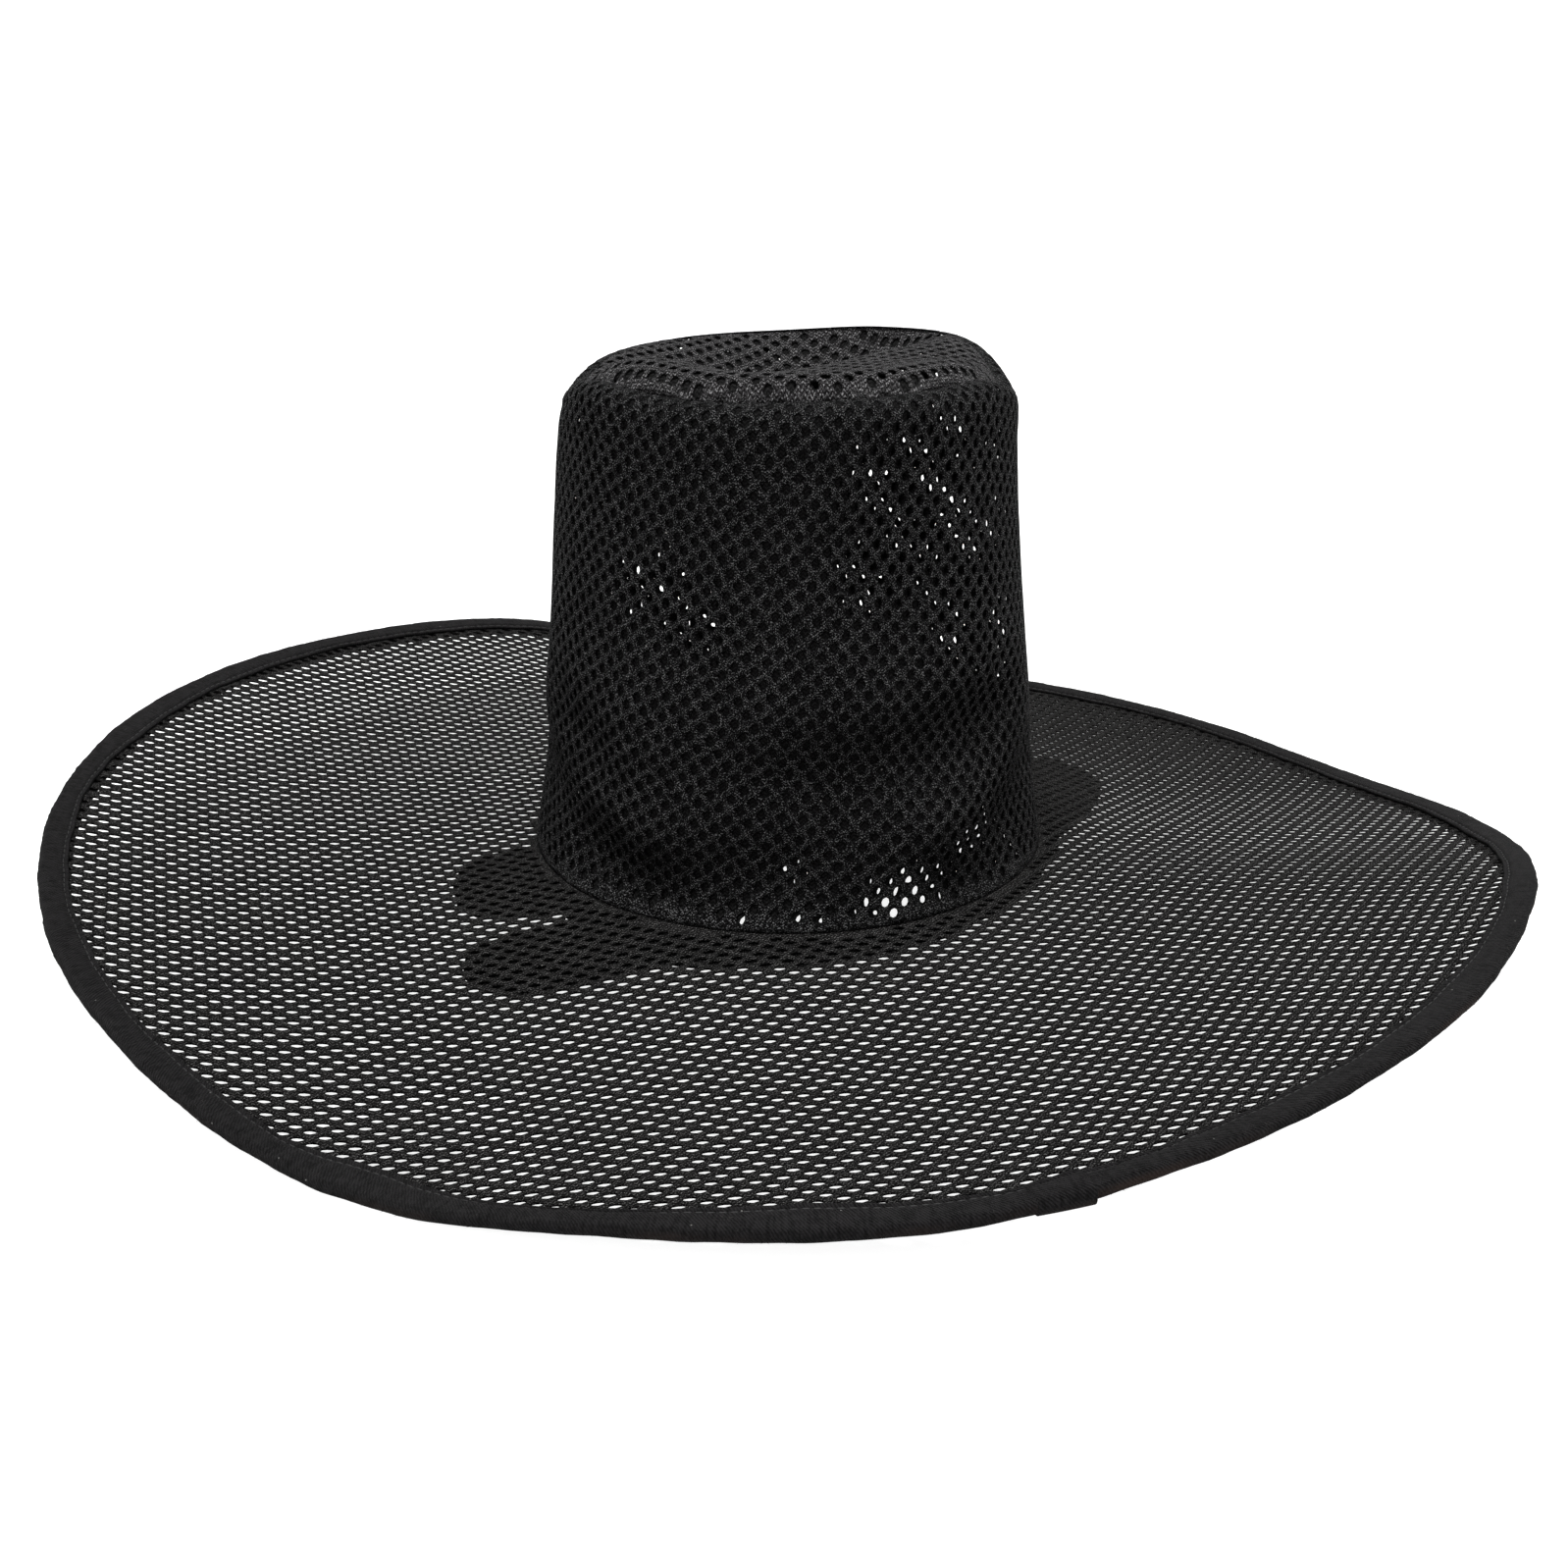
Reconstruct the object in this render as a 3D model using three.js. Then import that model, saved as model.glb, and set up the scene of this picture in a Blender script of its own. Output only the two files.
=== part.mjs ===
import * as THREE from 'three';

// A black open-mesh gat: a tall crown that tapers upwards, a crushed tip sewn into it,
// and a very wide brim whose edge is bound with cotton tape. Millimetres, +Z up, +Y to the back.
// The hat stands on two stretches of its wavy bound edge, which the surface has flattened.

// Crown
const CROWN_X = 2.9;            // the crown's axis, with the whole hat centred on the origin
const CROWN_Y = 0.8;
const CROWN_BASE_Z = 19.0;      // height of the seam between crown and brim
const CROWN_HEIGHT = 165.0;     // from that seam to the seam of the tip
const CROWN_CLOTH = 1.4;        // the knitted mesh with its stiffening
const SHOULDER_HEIGHT = 140.0;   // above this the wall turns in, so its cloth thickens downwards
const TIP_RADIUS = 68.6;        // radius of the seam between crown wall and tip
const SEAM_HOLD = 6;            // the seam keeps its shape, so dents die out this near to it

// Brim
const BRIM_CLOTH = 1.4;
const HEAD_OPENING = 87.4;      // radius of the hole for the head
const REST_HEIGHT = 1.9;        // middle of the cloth where the edge lies on the surface
const SEAM_GAP = 0.3;           // clearance between pieces that are sewn together

// Tape folded round the edge of the brim
const TAPE = 1.1;               // thickness of the cotton tape
const TOP_FLAP = 7.7;           // width that shows on top
const BOTTOM_FLAP = 7.4;        // the flap underneath is about as wide
const NOSE = 2.3;               // how far the fold stands out past the cloth
const FOLD_OUT = 0.75;          // corner of the rounded fold, as shares of its reach
const FOLD_UP = 0.62;           // and of its height
const FLAP_EDGE = 0.9;          // the top flap is pressed a little thinner at its sewn edge
const LAP_AZIMUTH = 288;        // where the tape's end is lapped over its start
const LAP_LENGTH = 15;

// Backing band under the brim, round the head opening
const BAND_CLOTH = 1.0;
const BAND_WIDTH = 15.0;

// Steps round the hat
const CROWN_STEPS = 72;
const BRIM_STEPS = 90;
const TAPE_STEPS = 96;
const LAP_STEPS = 4;

// The wired edge waves up and down. Reach is the radius from the crown's axis to the fold of
// the tape, height the middle of the cloth there, and sag how far the cloth hangs below a
// straight line from the crown to the edge.
const EDGE = [
  { azimuth: 0, reach: 247.8, height: 19.6, sag: 5.0 },
  { azimuth: 20, reach: 243.0, height: 4.5, sag: 4.4 },
  { azimuth: 40, reach: 238.4, height: 1.2, sag: 4.3 },
  { azimuth: 60, reach: 237.0, height: 1.5, sag: 4.3 },
  { azimuth: 80, reach: 238.8, height: 1.8, sag: 4.3 },
  { azimuth: 100, reach: 242.3, height: 8.0, sag: 4.6 },
  { azimuth: 120, reach: 246.3, height: 30.5, sag: 5.0 },
  { azimuth: 140, reach: 250.1, height: 39.0, sag: 5.0 },
  { azimuth: 160, reach: 252.9, height: 41.7, sag: 5.0 },
  { azimuth: 180, reach: 253.9, height: 38.0, sag: 5.0 },
  { azimuth: 200, reach: 252.0, height: 28.3, sag: 6.0 },
  { azimuth: 220, reach: 246.1, height: 14.7, sag: 6.5 },
  { azimuth: 240, reach: 241.5, height: 1.6, sag: 4.4 },
  { azimuth: 260, reach: 240.9, height: 8.1, sag: 4.6 },
  { azimuth: 280, reach: 243.7, height: 12.1, sag: 5.0 },
  { azimuth: 300, reach: 246.8, height: 22.7, sag: 5.0 },
  { azimuth: 320, reach: 250.2, height: 32.3, sag: 5.0 },
  { azimuth: 340, reach: 251.1, height: 36.2, sag: 5.0 },
];

// Radius of the crown's outer face against the height above its seam: a straight taper, then
// the rounded shoulder that turns in to the tip.
const CROWN_PROFILE = [
  { height: 0, radius: 89.2 },
  { height: 10, radius: 87.8 },
  { height: 28, radius: 85.7 },
  { height: 50, radius: 83.2 },
  { height: 75, radius: 80.7 },
  { height: 100, radius: 78.6 },
  { height: 125, radius: 76.7 },
  { height: 147, radius: 75.6 },
  { height: 156, radius: 75.7 },
  { height: 161.5, radius: 74.6 },
  { height: 165, radius: 68.9 },
];

// The top of the crown isn't level: how far it rises above its mean height.
const CROWN_TOP = [
  { azimuth: 0, rise: -6.2 },
  { azimuth: 30, rise: 2.5 },
  { azimuth: 60, rise: 2.5 },
  { azimuth: 90, rise: 0.0 },
  { azimuth: 120, rise: -0.9 },
  { azimuth: 150, rise: -2.7 },
  { azimuth: 180, rise: -8.0 },
  { azimuth: 210, rise: 0.2 },
  { azimuth: 240, rise: -0.6 },
  { azimuth: 270, rise: 0.0 },
  { azimuth: 300, rise: 0.6 },
  { azimuth: 330, rise: 0.0 },
];

// Soft dents (below zero) and bulges of the crown's wall.
const CROWN_DENTS = [
  { azimuth: 292, height: 112, turn: 16, tall: 34, depth: -2.6 },
  { azimuth: 250, height: 96, turn: 18, tall: 26, depth: -1.6 },
  { azimuth: 262, height: 28, turn: 20, tall: 16, depth: -2.2 },
  { azimuth: 303, height: 30, turn: 17, tall: 16, depth: 2.0 },
  { azimuth: 322, height: 62, turn: 12, tall: 14, depth: -2.0 },
  { azimuth: 0, height: 52, turn: 24, tall: 26, depth: 0.9 },
  { azimuth: 180, height: 118, turn: 30, tall: 34, depth: 1.0 },
  { azimuth: 186, height: 165, turn: 26, tall: 12, depth: -2.2 },
  { azimuth: 95, height: 90, turn: 26, tall: 36, depth: -3.0 },
  { azimuth: 140, height: 60, turn: 20, tall: 30, depth: -1.8 },
];

// The crushed tip: an oblique valley, steep on its near side, from the left to the back right.
const VALLEY = {
  x: -4.4, y: 22.3, turn: 34,   // its middle, from the crown's axis, and its direction
  depth: 22.3, half_length: 67, near_width: 17, far_width: 31,
};

// Round hills of the tip beside the valley, from the crown's axis.
const TIP_HILLS = [
  { x: -40, y: -28.5, wide: 20.4, height: 3.8 },
  { x: 35, y: 4.7, wide: 22.2, height: 2.8 },
];

// The tip's cloth rolls up over the seam before it falls in: how high, at this far in.
const ROLL_LENGTH = 9;
const TIP_ROLL = [
  { azimuth: 0, rise: 4.8 },
  { azimuth: 60, rise: -1.1 },
  { azimuth: 120, rise: 0.6 },
  { azimuth: 180, rise: 3.6 },
  { azimuth: 240, rise: 6.8 },
  { azimuth: 300, rise: 6.8 },
];

// The band is wider where its loose tongues reach out under the brim: two on the left, one right.
const TONGUES = [
  { azimuth: 202, turn: 9, reach: 16 },
  { azimuth: 226, turn: 7.5, reach: 37 },
  { azimuth: 33, turn: 15, reach: 42 },
];

const radians = THREE.MathUtils.degToRad;

function angleBetween(a, b) {
  return ((a - b + 540) % 360) - 180;
}

function bump(distance, width) {
  return Math.exp(-((distance / width) ** 2));
}

// A smooth closed curve through the rows of a table at even azimuths.
function around(table, column, azimuth) {
  const step = 360 / table.length;
  const place = (((azimuth % 360) + 360) % 360) / step;
  const row = Math.floor(place);
  const u = place - row;
  const at = (i) => table[(row + i + table.length) % table.length][column];
  const [a, b, c, d] = [at(-1), at(0), at(1), at(2)];
  const slope = (c - a) * u;
  const curve = (2 * a - 5 * b + 4 * c - d) * u ** 2;
  const twist = (3 * b - a - 3 * c + d) * u ** 3;
  return 0.5 * (2 * b + slope + curve + twist);
}

function onAxis(azimuth, radius, z) {
  const angle = radians(azimuth);
  return new THREE.Vector3(
    CROWN_X + radius * Math.cos(angle),
    CROWN_Y + radius * Math.sin(angle),
    z,
  );
}

// A closed ring: the same loop of points, worked out at every azimuth.
function ringBody(steps, loopAt) {
  const loops = [];
  for (let i = 0; i < steps; i += 1) {
    loops.push(loopAt((360 * i) / steps));
  }
  return loft(loops, true);
}

// Faces between neighbouring loops. Each loop runs anticlockwise where it is seen from
// outside with the azimuth going away.
function loft(loops, closed) {
  const count = loops[0].length;
  const positions = loops.flat().flatMap((p) => [p.x, p.y, p.z]);
  const index = [];
  const spans = closed ? loops.length : loops.length - 1;
  for (let i = 0; i < spans; i += 1) {
    const here = i * count;
    const there = ((i + 1) % loops.length) * count;
    for (let j = 0; j < count; j += 1) {
      const k = (j + 1) % count;
      index.push(here + j, there + j, there + k);
      index.push(here + j, there + k, here + k);
    }
  }
  if (!closed) {
    addEnds(index, count, loops.length);
  }
  return solid(positions, index);
}

// The two ends of an open strap, whose loop is an outer line and an inner line of equal length.
function addEnds(index, count, loopCount) {
  const last = (loopCount - 1) * count;
  for (let j = 0; j < count / 2 - 1; j += 1) {
    const [a, b] = [j, j + 1];
    const [c, d] = [count - 2 - j, count - 1 - j];
    index.push(a, b, c, a, c, d);
    index.push(last + a, last + c, last + b, last + a, last + d, last + c);
  }
}

function solid(positions, index) {
  const geometry = new THREE.BufferGeometry();
  geometry.setAttribute('position', new THREE.Float32BufferAttribute(positions, 3));
  geometry.setIndex(index);
  geometry.computeVertexNormals();
  return geometry;
}

function crownDent(azimuth, height) {
  let depth = 0;
  for (const dent of CROWN_DENTS) {
    const turn = bump(angleBetween(azimuth, dent.azimuth), dent.turn);
    depth += dent.depth * turn * bump(height - dent.height, dent.tall);
  }
  return depth * Math.min(1, (CROWN_HEIGHT - height) / SEAM_HOLD);
}

// Height of a point of the crown, whose top edge rises and falls.
function crownZ(azimuth, height) {
  const share = (height / CROWN_HEIGHT) ** 2;
  return CROWN_BASE_Z + height + around(CROWN_TOP, 'rise', azimuth) * share;
}

// The crown's wall stands on the brim, with a gap where the two are sewn together.
function crownSide() {
  const foot = BRIM_CLOTH / 2 + SEAM_GAP;
  return ringBody(CROWN_STEPS, (azimuth) => {
    const outer = CROWN_PROFILE.map(({ height, radius }) => {
      const z = crownZ(azimuth, Math.max(height, foot));
      return onAxis(azimuth, radius + crownDent(azimuth, height), z);
    });
    const inner = CROWN_PROFILE.slice(0, -1).map(({ height, radius }) => {
      const lower = Math.max(height - (height > SHOULDER_HEIGHT ? CROWN_CLOTH : 0), foot);
      const z = crownZ(azimuth, lower);
      return onAxis(azimuth, radius + crownDent(azimuth, height) - CROWN_CLOTH, z);
    });
    inner.push(onAxis(azimuth, TIP_RADIUS + SEAM_GAP, crownZ(azimuth, CROWN_HEIGHT - CROWN_CLOTH)));
    return [...outer, ...inner.reverse()];
  });
}

// How deep the tip is crushed at a point given from the crown's axis, less its hills.
function tipDepth(x, y) {
  const angle = radians(VALLEY.turn);
  const [dx, dy] = [x - VALLEY.x, y - VALLEY.y];
  const along = dx * Math.cos(angle) + dy * Math.sin(angle);
  const across = dy * Math.cos(angle) - dx * Math.sin(angle);
  const width = across < 0 ? VALLEY.near_width : VALLEY.far_width;
  const fade = 1 - (Math.hypot(x, y) / TIP_RADIUS) ** 6;
  let depth = VALLEY.depth * bump(along, VALLEY.half_length) * bump(across, width);
  for (const hill of TIP_HILLS) {
    depth -= hill.height * bump(Math.hypot(x - hill.x, y - hill.y), hill.wide);
  }
  return depth * fade;
}

// How high the rolled cloth stands: steep at the seam, highest at its length in, then falling.
function tipRoll(azimuth, radius) {
  const inwards = (TIP_RADIUS - SEAM_GAP - radius) / ROLL_LENGTH;
  return around(TIP_ROLL, 'rise', azimuth) * inwards * Math.exp(1 - inwards);
}

function tipPoint(azimuth, share, drop) {
  const radius = (TIP_RADIUS - SEAM_GAP) * share;
  const point = onAxis(azimuth, radius, 0);
  const rise = around(CROWN_TOP, 'rise', azimuth) * share ** 2;
  const depth = tipDepth(point.x - CROWN_X, point.y - CROWN_Y);
  point.z = CROWN_BASE_Z + CROWN_HEIGHT + rise + tipRoll(azimuth, radius) - depth - drop;
  return point;
}

// The tip is a disc of the same cloth: its upper face from the middle out to the seam, then
// its lower face back to the middle.
function crownTip() {
  const shares = [0.2, 0.4, 0.57, 0.72, 0.85, 0.94, 1];
  const rows = [
    ...shares.map((share) => [share, 0]),
    ...shares.map((share) => [share, CROWN_CLOTH]).reverse(),
  ];
  const points = [tipPoint(0, 0, 0), tipPoint(0, 0, CROWN_CLOTH)];
  for (const [share, drop] of rows) {
    for (let i = 0; i < CROWN_STEPS; i += 1) {
      points.push(tipPoint((360 * i) / CROWN_STEPS, share, drop));
    }
  }
  const index = [];
  const vertex = (row, i) => 2 + row * CROWN_STEPS + (i % CROWN_STEPS);
  const last = rows.length - 1;
  for (let i = 0; i < CROWN_STEPS; i += 1) {
    index.push(0, vertex(0, i), vertex(0, i + 1));
    index.push(1, vertex(last, i + 1), vertex(last, i));
    for (let row = 0; row < last; row += 1) {
      index.push(vertex(row, i), vertex(row + 1, i), vertex(row + 1, i + 1));
      index.push(vertex(row, i), vertex(row + 1, i + 1), vertex(row, i + 1));
    }
  }
  return solid(points.flatMap((p) => [p.x, p.y, p.z]), index);
}

function edgeRadius(azimuth) {
  return around(EDGE, 'reach', azimuth) - NOSE;
}

// Height of the middle of the brim's cloth at a radius from the crown's axis.
function brimZ(azimuth, radius) {
  const share = (radius - HEAD_OPENING) / (edgeRadius(azimuth) - HEAD_OPENING);
  const edge = Math.max(around(EDGE, 'height', azimuth), REST_HEIGHT);
  const straight = CROWN_BASE_Z + (edge - CROWN_BASE_Z) * share;
  return straight - around(EDGE, 'sag', azimuth) * 4 * share * (1 - share);
}

// The brim is one flat-cut ring of cloth from the head opening to the bound edge.
function brim() {
  const shares = [0, 0.12, 0.3, 0.5, 0.7, 0.9, 1];
  return ringBody(BRIM_STEPS, (azimuth) => {
    const width = edgeRadius(azimuth) - HEAD_OPENING;
    const face = (lift) => shares.map((share) => {
      const radius = HEAD_OPENING + width * share;
      return onAxis(azimuth, radius, brimZ(azimuth, radius) + lift);
    });
    return [...face(-BRIM_CLOTH / 2), ...face(BRIM_CLOTH / 2).reverse()];
  });
}

// The tape's fold as two lines, outside and inside: distance in from the edge of the cloth,
// and lift above its middle.
function tapeFold(extra) {
  const inside = BRIM_CLOTH / 2 + SEAM_GAP;
  const outside = inside + TAPE + extra;
  const nose = NOSE + extra;
  return {
    outer: [
      [BOTTOM_FLAP, -outside],
      [BOTTOM_FLAP / 2, -outside],
      [0, -outside],
      [-nose * FOLD_OUT, -outside * FOLD_UP],
      [-nose, 0],
      [-nose * FOLD_OUT, outside * FOLD_UP],
      [0, outside],
      [TOP_FLAP, outside * FLAP_EDGE],
    ],
    inner: [
      [BOTTOM_FLAP, -inside],
      [BOTTOM_FLAP / 2, -inside],
      [0, -inside],
      [-SEAM_GAP, -inside * FOLD_UP],
      [-SEAM_GAP, 0],
      [-SEAM_GAP, inside * FOLD_UP],
      [0, inside],
      [TOP_FLAP, inside],
    ],
  };
}

// A line of the fold in space. Nothing of it is lower than the surface that the hat lies on.
function foldLine(azimuth, line) {
  const edge = edgeRadius(azimuth);
  return line.map(([inwards, lift]) => {
    const radius = edge - inwards;
    const z = brimZ(azimuth, Math.min(radius, edge)) + lift;
    return onAxis(azimuth, radius, Math.max(z, 0));
  });
}

function edgeBinding() {
  const { outer, inner } = tapeFold(0);
  return ringBody(TAPE_STEPS, (azimuth) => [
    ...foldLine(azimuth, outer),
    ...foldLine(azimuth, inner).reverse(),
  ]);
}

// The end of the tape, lapped over its start: a short strap round the outside of the fold.
function bindingLap() {
  const half = THREE.MathUtils.radToDeg(LAP_LENGTH / 2 / edgeRadius(LAP_AZIMUTH));
  const { outer } = tapeFold(TAPE + SEAM_GAP);
  const { outer: inner } = tapeFold(SEAM_GAP);
  const loops = [];
  for (let i = 0; i <= LAP_STEPS; i += 1) {
    const azimuth = LAP_AZIMUTH + half * ((2 * i) / LAP_STEPS - 1);
    loops.push([...foldLine(azimuth, outer), ...foldLine(azimuth, inner).reverse()]);
  }
  return loft(loops, false);
}

function bandReach(azimuth) {
  let reach = HEAD_OPENING + BAND_WIDTH;
  for (const tongue of TONGUES) {
    reach += tongue.reach * bump(angleBetween(azimuth, tongue.azimuth), tongue.turn);
  }
  return reach;
}

// The backing band lies under the brim and shows through its holes as a dark ring.
function underBand() {
  const top = -BRIM_CLOTH / 2 - SEAM_GAP;
  return ringBody(CROWN_STEPS, (azimuth) => {
    const width = bandReach(azimuth) - HEAD_OPENING;
    const face = (lift) => [0, 0.5, 1].map((share) => {
      const radius = HEAD_OPENING + width * share;
      return onAxis(azimuth, radius, brimZ(azimuth, radius) + lift);
    });
    return [...face(top - BAND_CLOTH), ...face(top).reverse()];
  });
}

const meshCloth = new THREE.MeshStandardMaterial({ color: 0x17181a, roughness: 0.62, metalness: 0 });
const tipCloth = new THREE.MeshStandardMaterial({ color: 0x1d1c1c, roughness: 0.6, metalness: 0 });
const cottonTape = new THREE.MeshStandardMaterial({ color: 0x121213, roughness: 0.92, metalness: 0 });
const bandCloth = new THREE.MeshStandardMaterial({ color: 0x141416, roughness: 0.85, metalness: 0 });

function piece(name, geometry, material) {
  const mesh = new THREE.Mesh(geometry, material);
  mesh.name = name;
  return mesh;
}

const hat = new THREE.Group();
hat.add(piece('crown_side', crownSide(), meshCloth));
hat.add(piece('crown_tip', crownTip(), tipCloth));
hat.add(piece('brim', brim(), meshCloth));
hat.add(piece('under_band', underBand(), bandCloth));
hat.add(piece('edge_binding', edgeBinding(), cottonTape));
hat.add(piece('binding_lap', bindingLap(), cottonTape));

export default hat;
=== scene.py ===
# %% [markdown]
# # A gat of black knitted net, dressed for a picture
#
# The hat is a tall crown, a crushed tip and a very wide brim, all of one stiff knitted net, with
# a cotton tape folded round the brim's edge. Its solid model fixes every size. This lesson makes
# what the eye sees: about eleven thousand real holes, the knitted bars between them, the tape
# with its stitches and fuzz, and the light. We start with the fixed frame and the box it fills.

# %% Frame
import math

import bpy
import numpy as np
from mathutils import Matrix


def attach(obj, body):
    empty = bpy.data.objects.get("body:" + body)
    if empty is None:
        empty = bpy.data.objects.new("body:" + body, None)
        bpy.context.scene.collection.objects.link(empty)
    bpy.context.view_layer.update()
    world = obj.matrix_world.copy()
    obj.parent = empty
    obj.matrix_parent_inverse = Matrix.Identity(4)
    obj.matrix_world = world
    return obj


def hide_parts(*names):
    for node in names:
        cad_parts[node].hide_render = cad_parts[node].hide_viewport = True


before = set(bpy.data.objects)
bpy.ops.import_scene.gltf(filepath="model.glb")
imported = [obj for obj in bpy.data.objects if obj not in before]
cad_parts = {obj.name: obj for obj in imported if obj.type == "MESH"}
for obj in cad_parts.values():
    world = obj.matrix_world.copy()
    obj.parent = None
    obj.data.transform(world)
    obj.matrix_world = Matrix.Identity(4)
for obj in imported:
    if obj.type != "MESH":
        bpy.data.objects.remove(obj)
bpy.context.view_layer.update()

# %% [markdown]
# ## Camera
#
# The picture was taken from a little above the hat. A lens is its focal length in pixels over
# the picture's width, times the width of the sensor. The hat stands a touch right of the middle,
# so the picture plane is shifted by those few pixels and the camera itself isn't turned.

# %% Camera
PICTURE_PX = 1598
SENSOR_MM = 36.0
FOCAL_PX = 2050.0
CENTRE_PX = 803.0
CAMERA_PLACE = (0.0029, -0.6632, 0.297)
CAMERA_DOWN = 21.5



def add_object(name, data):
    """A new object with some data, in the scene."""
    made = bpy.data.objects.new(name, data)
    bpy.context.scene.collection.objects.link(made)
    return made


camera_data = bpy.data.cameras.new("camera")
camera_data.sensor_width = SENSOR_MM
camera_data.lens = SENSOR_MM * FOCAL_PX / PICTURE_PX
camera_data.shift_x = (PICTURE_PX / 2 - CENTRE_PX) / PICTURE_PX
camera_data.clip_start = 0.01
camera_data.clip_end = 60.0
camera = add_object("camera", camera_data)
camera.location = CAMERA_PLACE
camera.rotation_euler = (math.radians(90 - CAMERA_DOWN), 0, 0)
bpy.context.scene.camera = camera
print("lens, mm:", round(camera_data.lens, 2))

# %% [markdown]
# ## The hat's measures
#
# These are the sizes of the solid model, in millimetres, so that what we make lies where it
# does. A wavy edge needs a curve that closes on itself. Each table gives its column at even
# steps round the crown's axis, and `around` runs a smooth closed curve through them.

# %% Measures
MM = 0.001
CROWN_X, CROWN_Y = 2.9, 0.8
CROWN_BASE_Z = 19.0
CROWN_HEIGHT = 165.0
TIP_RADIUS = 68.6
SEAM_HOLD = FOOT_HOLD = 6.0
HEAD_OPENING = 87.4
NOSE = 2.3
REST_HEIGHT = 1.9
BRIM_CLOTH = 1.4
SEAM_GAP = 0.3
# one degree of the crown's wall half way up, and the brim's usual radius
WALL_PER_DEGREE = 1.42
EDGE_MEAN = 245.0

EDGE_REACH = np.array([
    247.8, 243.0, 238.4, 237.0, 238.8, 242.3, 246.3, 250.1, 252.9,
    253.9, 252.0, 246.1, 241.5, 240.9, 243.7, 246.8, 250.2, 251.1])
EDGE_HEIGHT = np.array([
    19.6, 4.5, 1.2, 1.5, 1.8, 8.0, 30.5, 39.0, 41.7,
    38.0, 28.3, 14.7, 1.6, 8.1, 12.1, 22.7, 32.3, 36.2])
EDGE_SAG = np.array([
    5.0, 4.4, 4.3, 4.3, 4.3, 4.6, 5.0, 5.0, 5.0,
    5.0, 6.0, 6.5, 4.4, 4.6, 5.0, 5.0, 5.0, 5.0])
TOP_RISE = np.array([-6.2, 2.5, 2.5, 0.0, -0.9, -2.7, -8.0, 0.2, -0.6, 0.0, 0.6, 0.0])

PROFILE_HEIGHT = np.array([0, 10, 28, 50, 75, 100, 125, 147, 153, 157.5, 161, 163.4, 164.6, 165])
PROFILE_RADIUS = np.array([
    89.2, 87.8, 85.7, 83.2, 80.7, 78.6, 76.7, 75.6, 75.7, 75.6, 75.0, 73.3, 71.1, 68.5])
PROFILE_LENGTH = np.concatenate([
    [0], np.cumsum(np.hypot(np.diff(PROFILE_HEIGHT), np.diff(PROFILE_RADIUS)))])

# azimuth, height, turn, tall, depth
CROWN_DENTS = np.array([
    [292, 112, 16, 34, -2.6], [250, 96, 18, 26, -1.6], [262, 28, 20, 16, -2.2],
    [303, 30, 17, 16, 2.0], [322, 62, 12, 14, -2.0], [0, 52, 24, 26, 0.9],
    [180, 118, 30, 34, 1.0], [186, 165, 26, 12, -2.2], [95, 90, 26, 36, -3.0],
    [140, 60, 20, 30, -1.8]])

# azimuth and height of both ends, width, depth: a crease's lower side is pushed in
CREASES = np.array([
    [316, 68, 270, 60, 13, 2.3], [343, 45, 305, 20, 13, 3.0], [192, 45, 226, 27, 13, 2.1],
    [226, 27, 240, 20, 11, 1.8], [240, 20, 268, 27, 13, 2.6], [212, 67, 234, 47, 9, 1.1],
    [200, 60, 340, 68, 18, 1.1]])

VALLEY = dict(x=-4.4, y=22.3, turn=34, depth=22.3, half_length=67, near_width=17, far_width=31)
# x, y, wide, height
TIP_HILLS = np.array([[-40, -28.5, 20.4, 3.8], [35, 4.7, 22.2, 2.8]])
ROLL_LENGTH = 9.0
TIP_ROLL = np.array([4.8, -1.1, 0.6, 3.6, 6.8, 6.8])


def around(column, azimuth):
    """Smooth closed curve: on each step, the cubic whose slope at a row is half the rise
    between its two neighbours."""
    count = len(column)
    place = (np.asarray(azimuth, float) % 360) / (360 / count)
    row = np.floor(place).astype(int)
    u = place - row
    a, b, c, d = (column[(row + k) % count] for k in (-1, 0, 1, 2))
    curve = (2 * a - 5 * b + 4 * c - d) * u ** 2 + (3 * b - a - 3 * c + d) * u ** 3
    return 0.5 * (2 * b + (c - a) * u + curve)


def once_round(count):
    """Even steps round the axis, in degrees."""
    return np.linspace(0, 360, count, endpoint=False)


def bump(distance, width):
    """A round hill: e to the power of minus the square of distance over width."""
    return np.exp(-(distance / width) ** 2)


def angle_between(a, b):
    """Turn from b to a in degrees, from -180 to 180."""
    return (a - b + 540) % 360 - 180


def on_axis(azimuth, radius, z):
    """Point at a turn and a radius round the crown's axis, in millimetres."""
    angle = np.radians(azimuth)
    return np.stack([CROWN_X + radius * np.cos(angle), CROWN_Y + radius * np.sin(angle), z], -1)


def edge_radius(azimuth):
    """Radius of the cloth's cut edge: the reach of the tape less its nose."""
    return around(EDGE_REACH, azimuth) - NOSE


def brim_z(azimuth, radius):
    """Height of the brim's cloth: a straight line from crown to edge, less a sag that is a
    parabola with its depth in the middle."""
    share = (radius - HEAD_OPENING) / (edge_radius(azimuth) - HEAD_OPENING)
    edge = np.maximum(around(EDGE_HEIGHT, azimuth), REST_HEIGHT)
    straight = CROWN_BASE_Z + (edge - CROWN_BASE_Z) * share
    return straight - around(EDGE_SAG, azimuth) * 4 * share * (1 - share)


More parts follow.
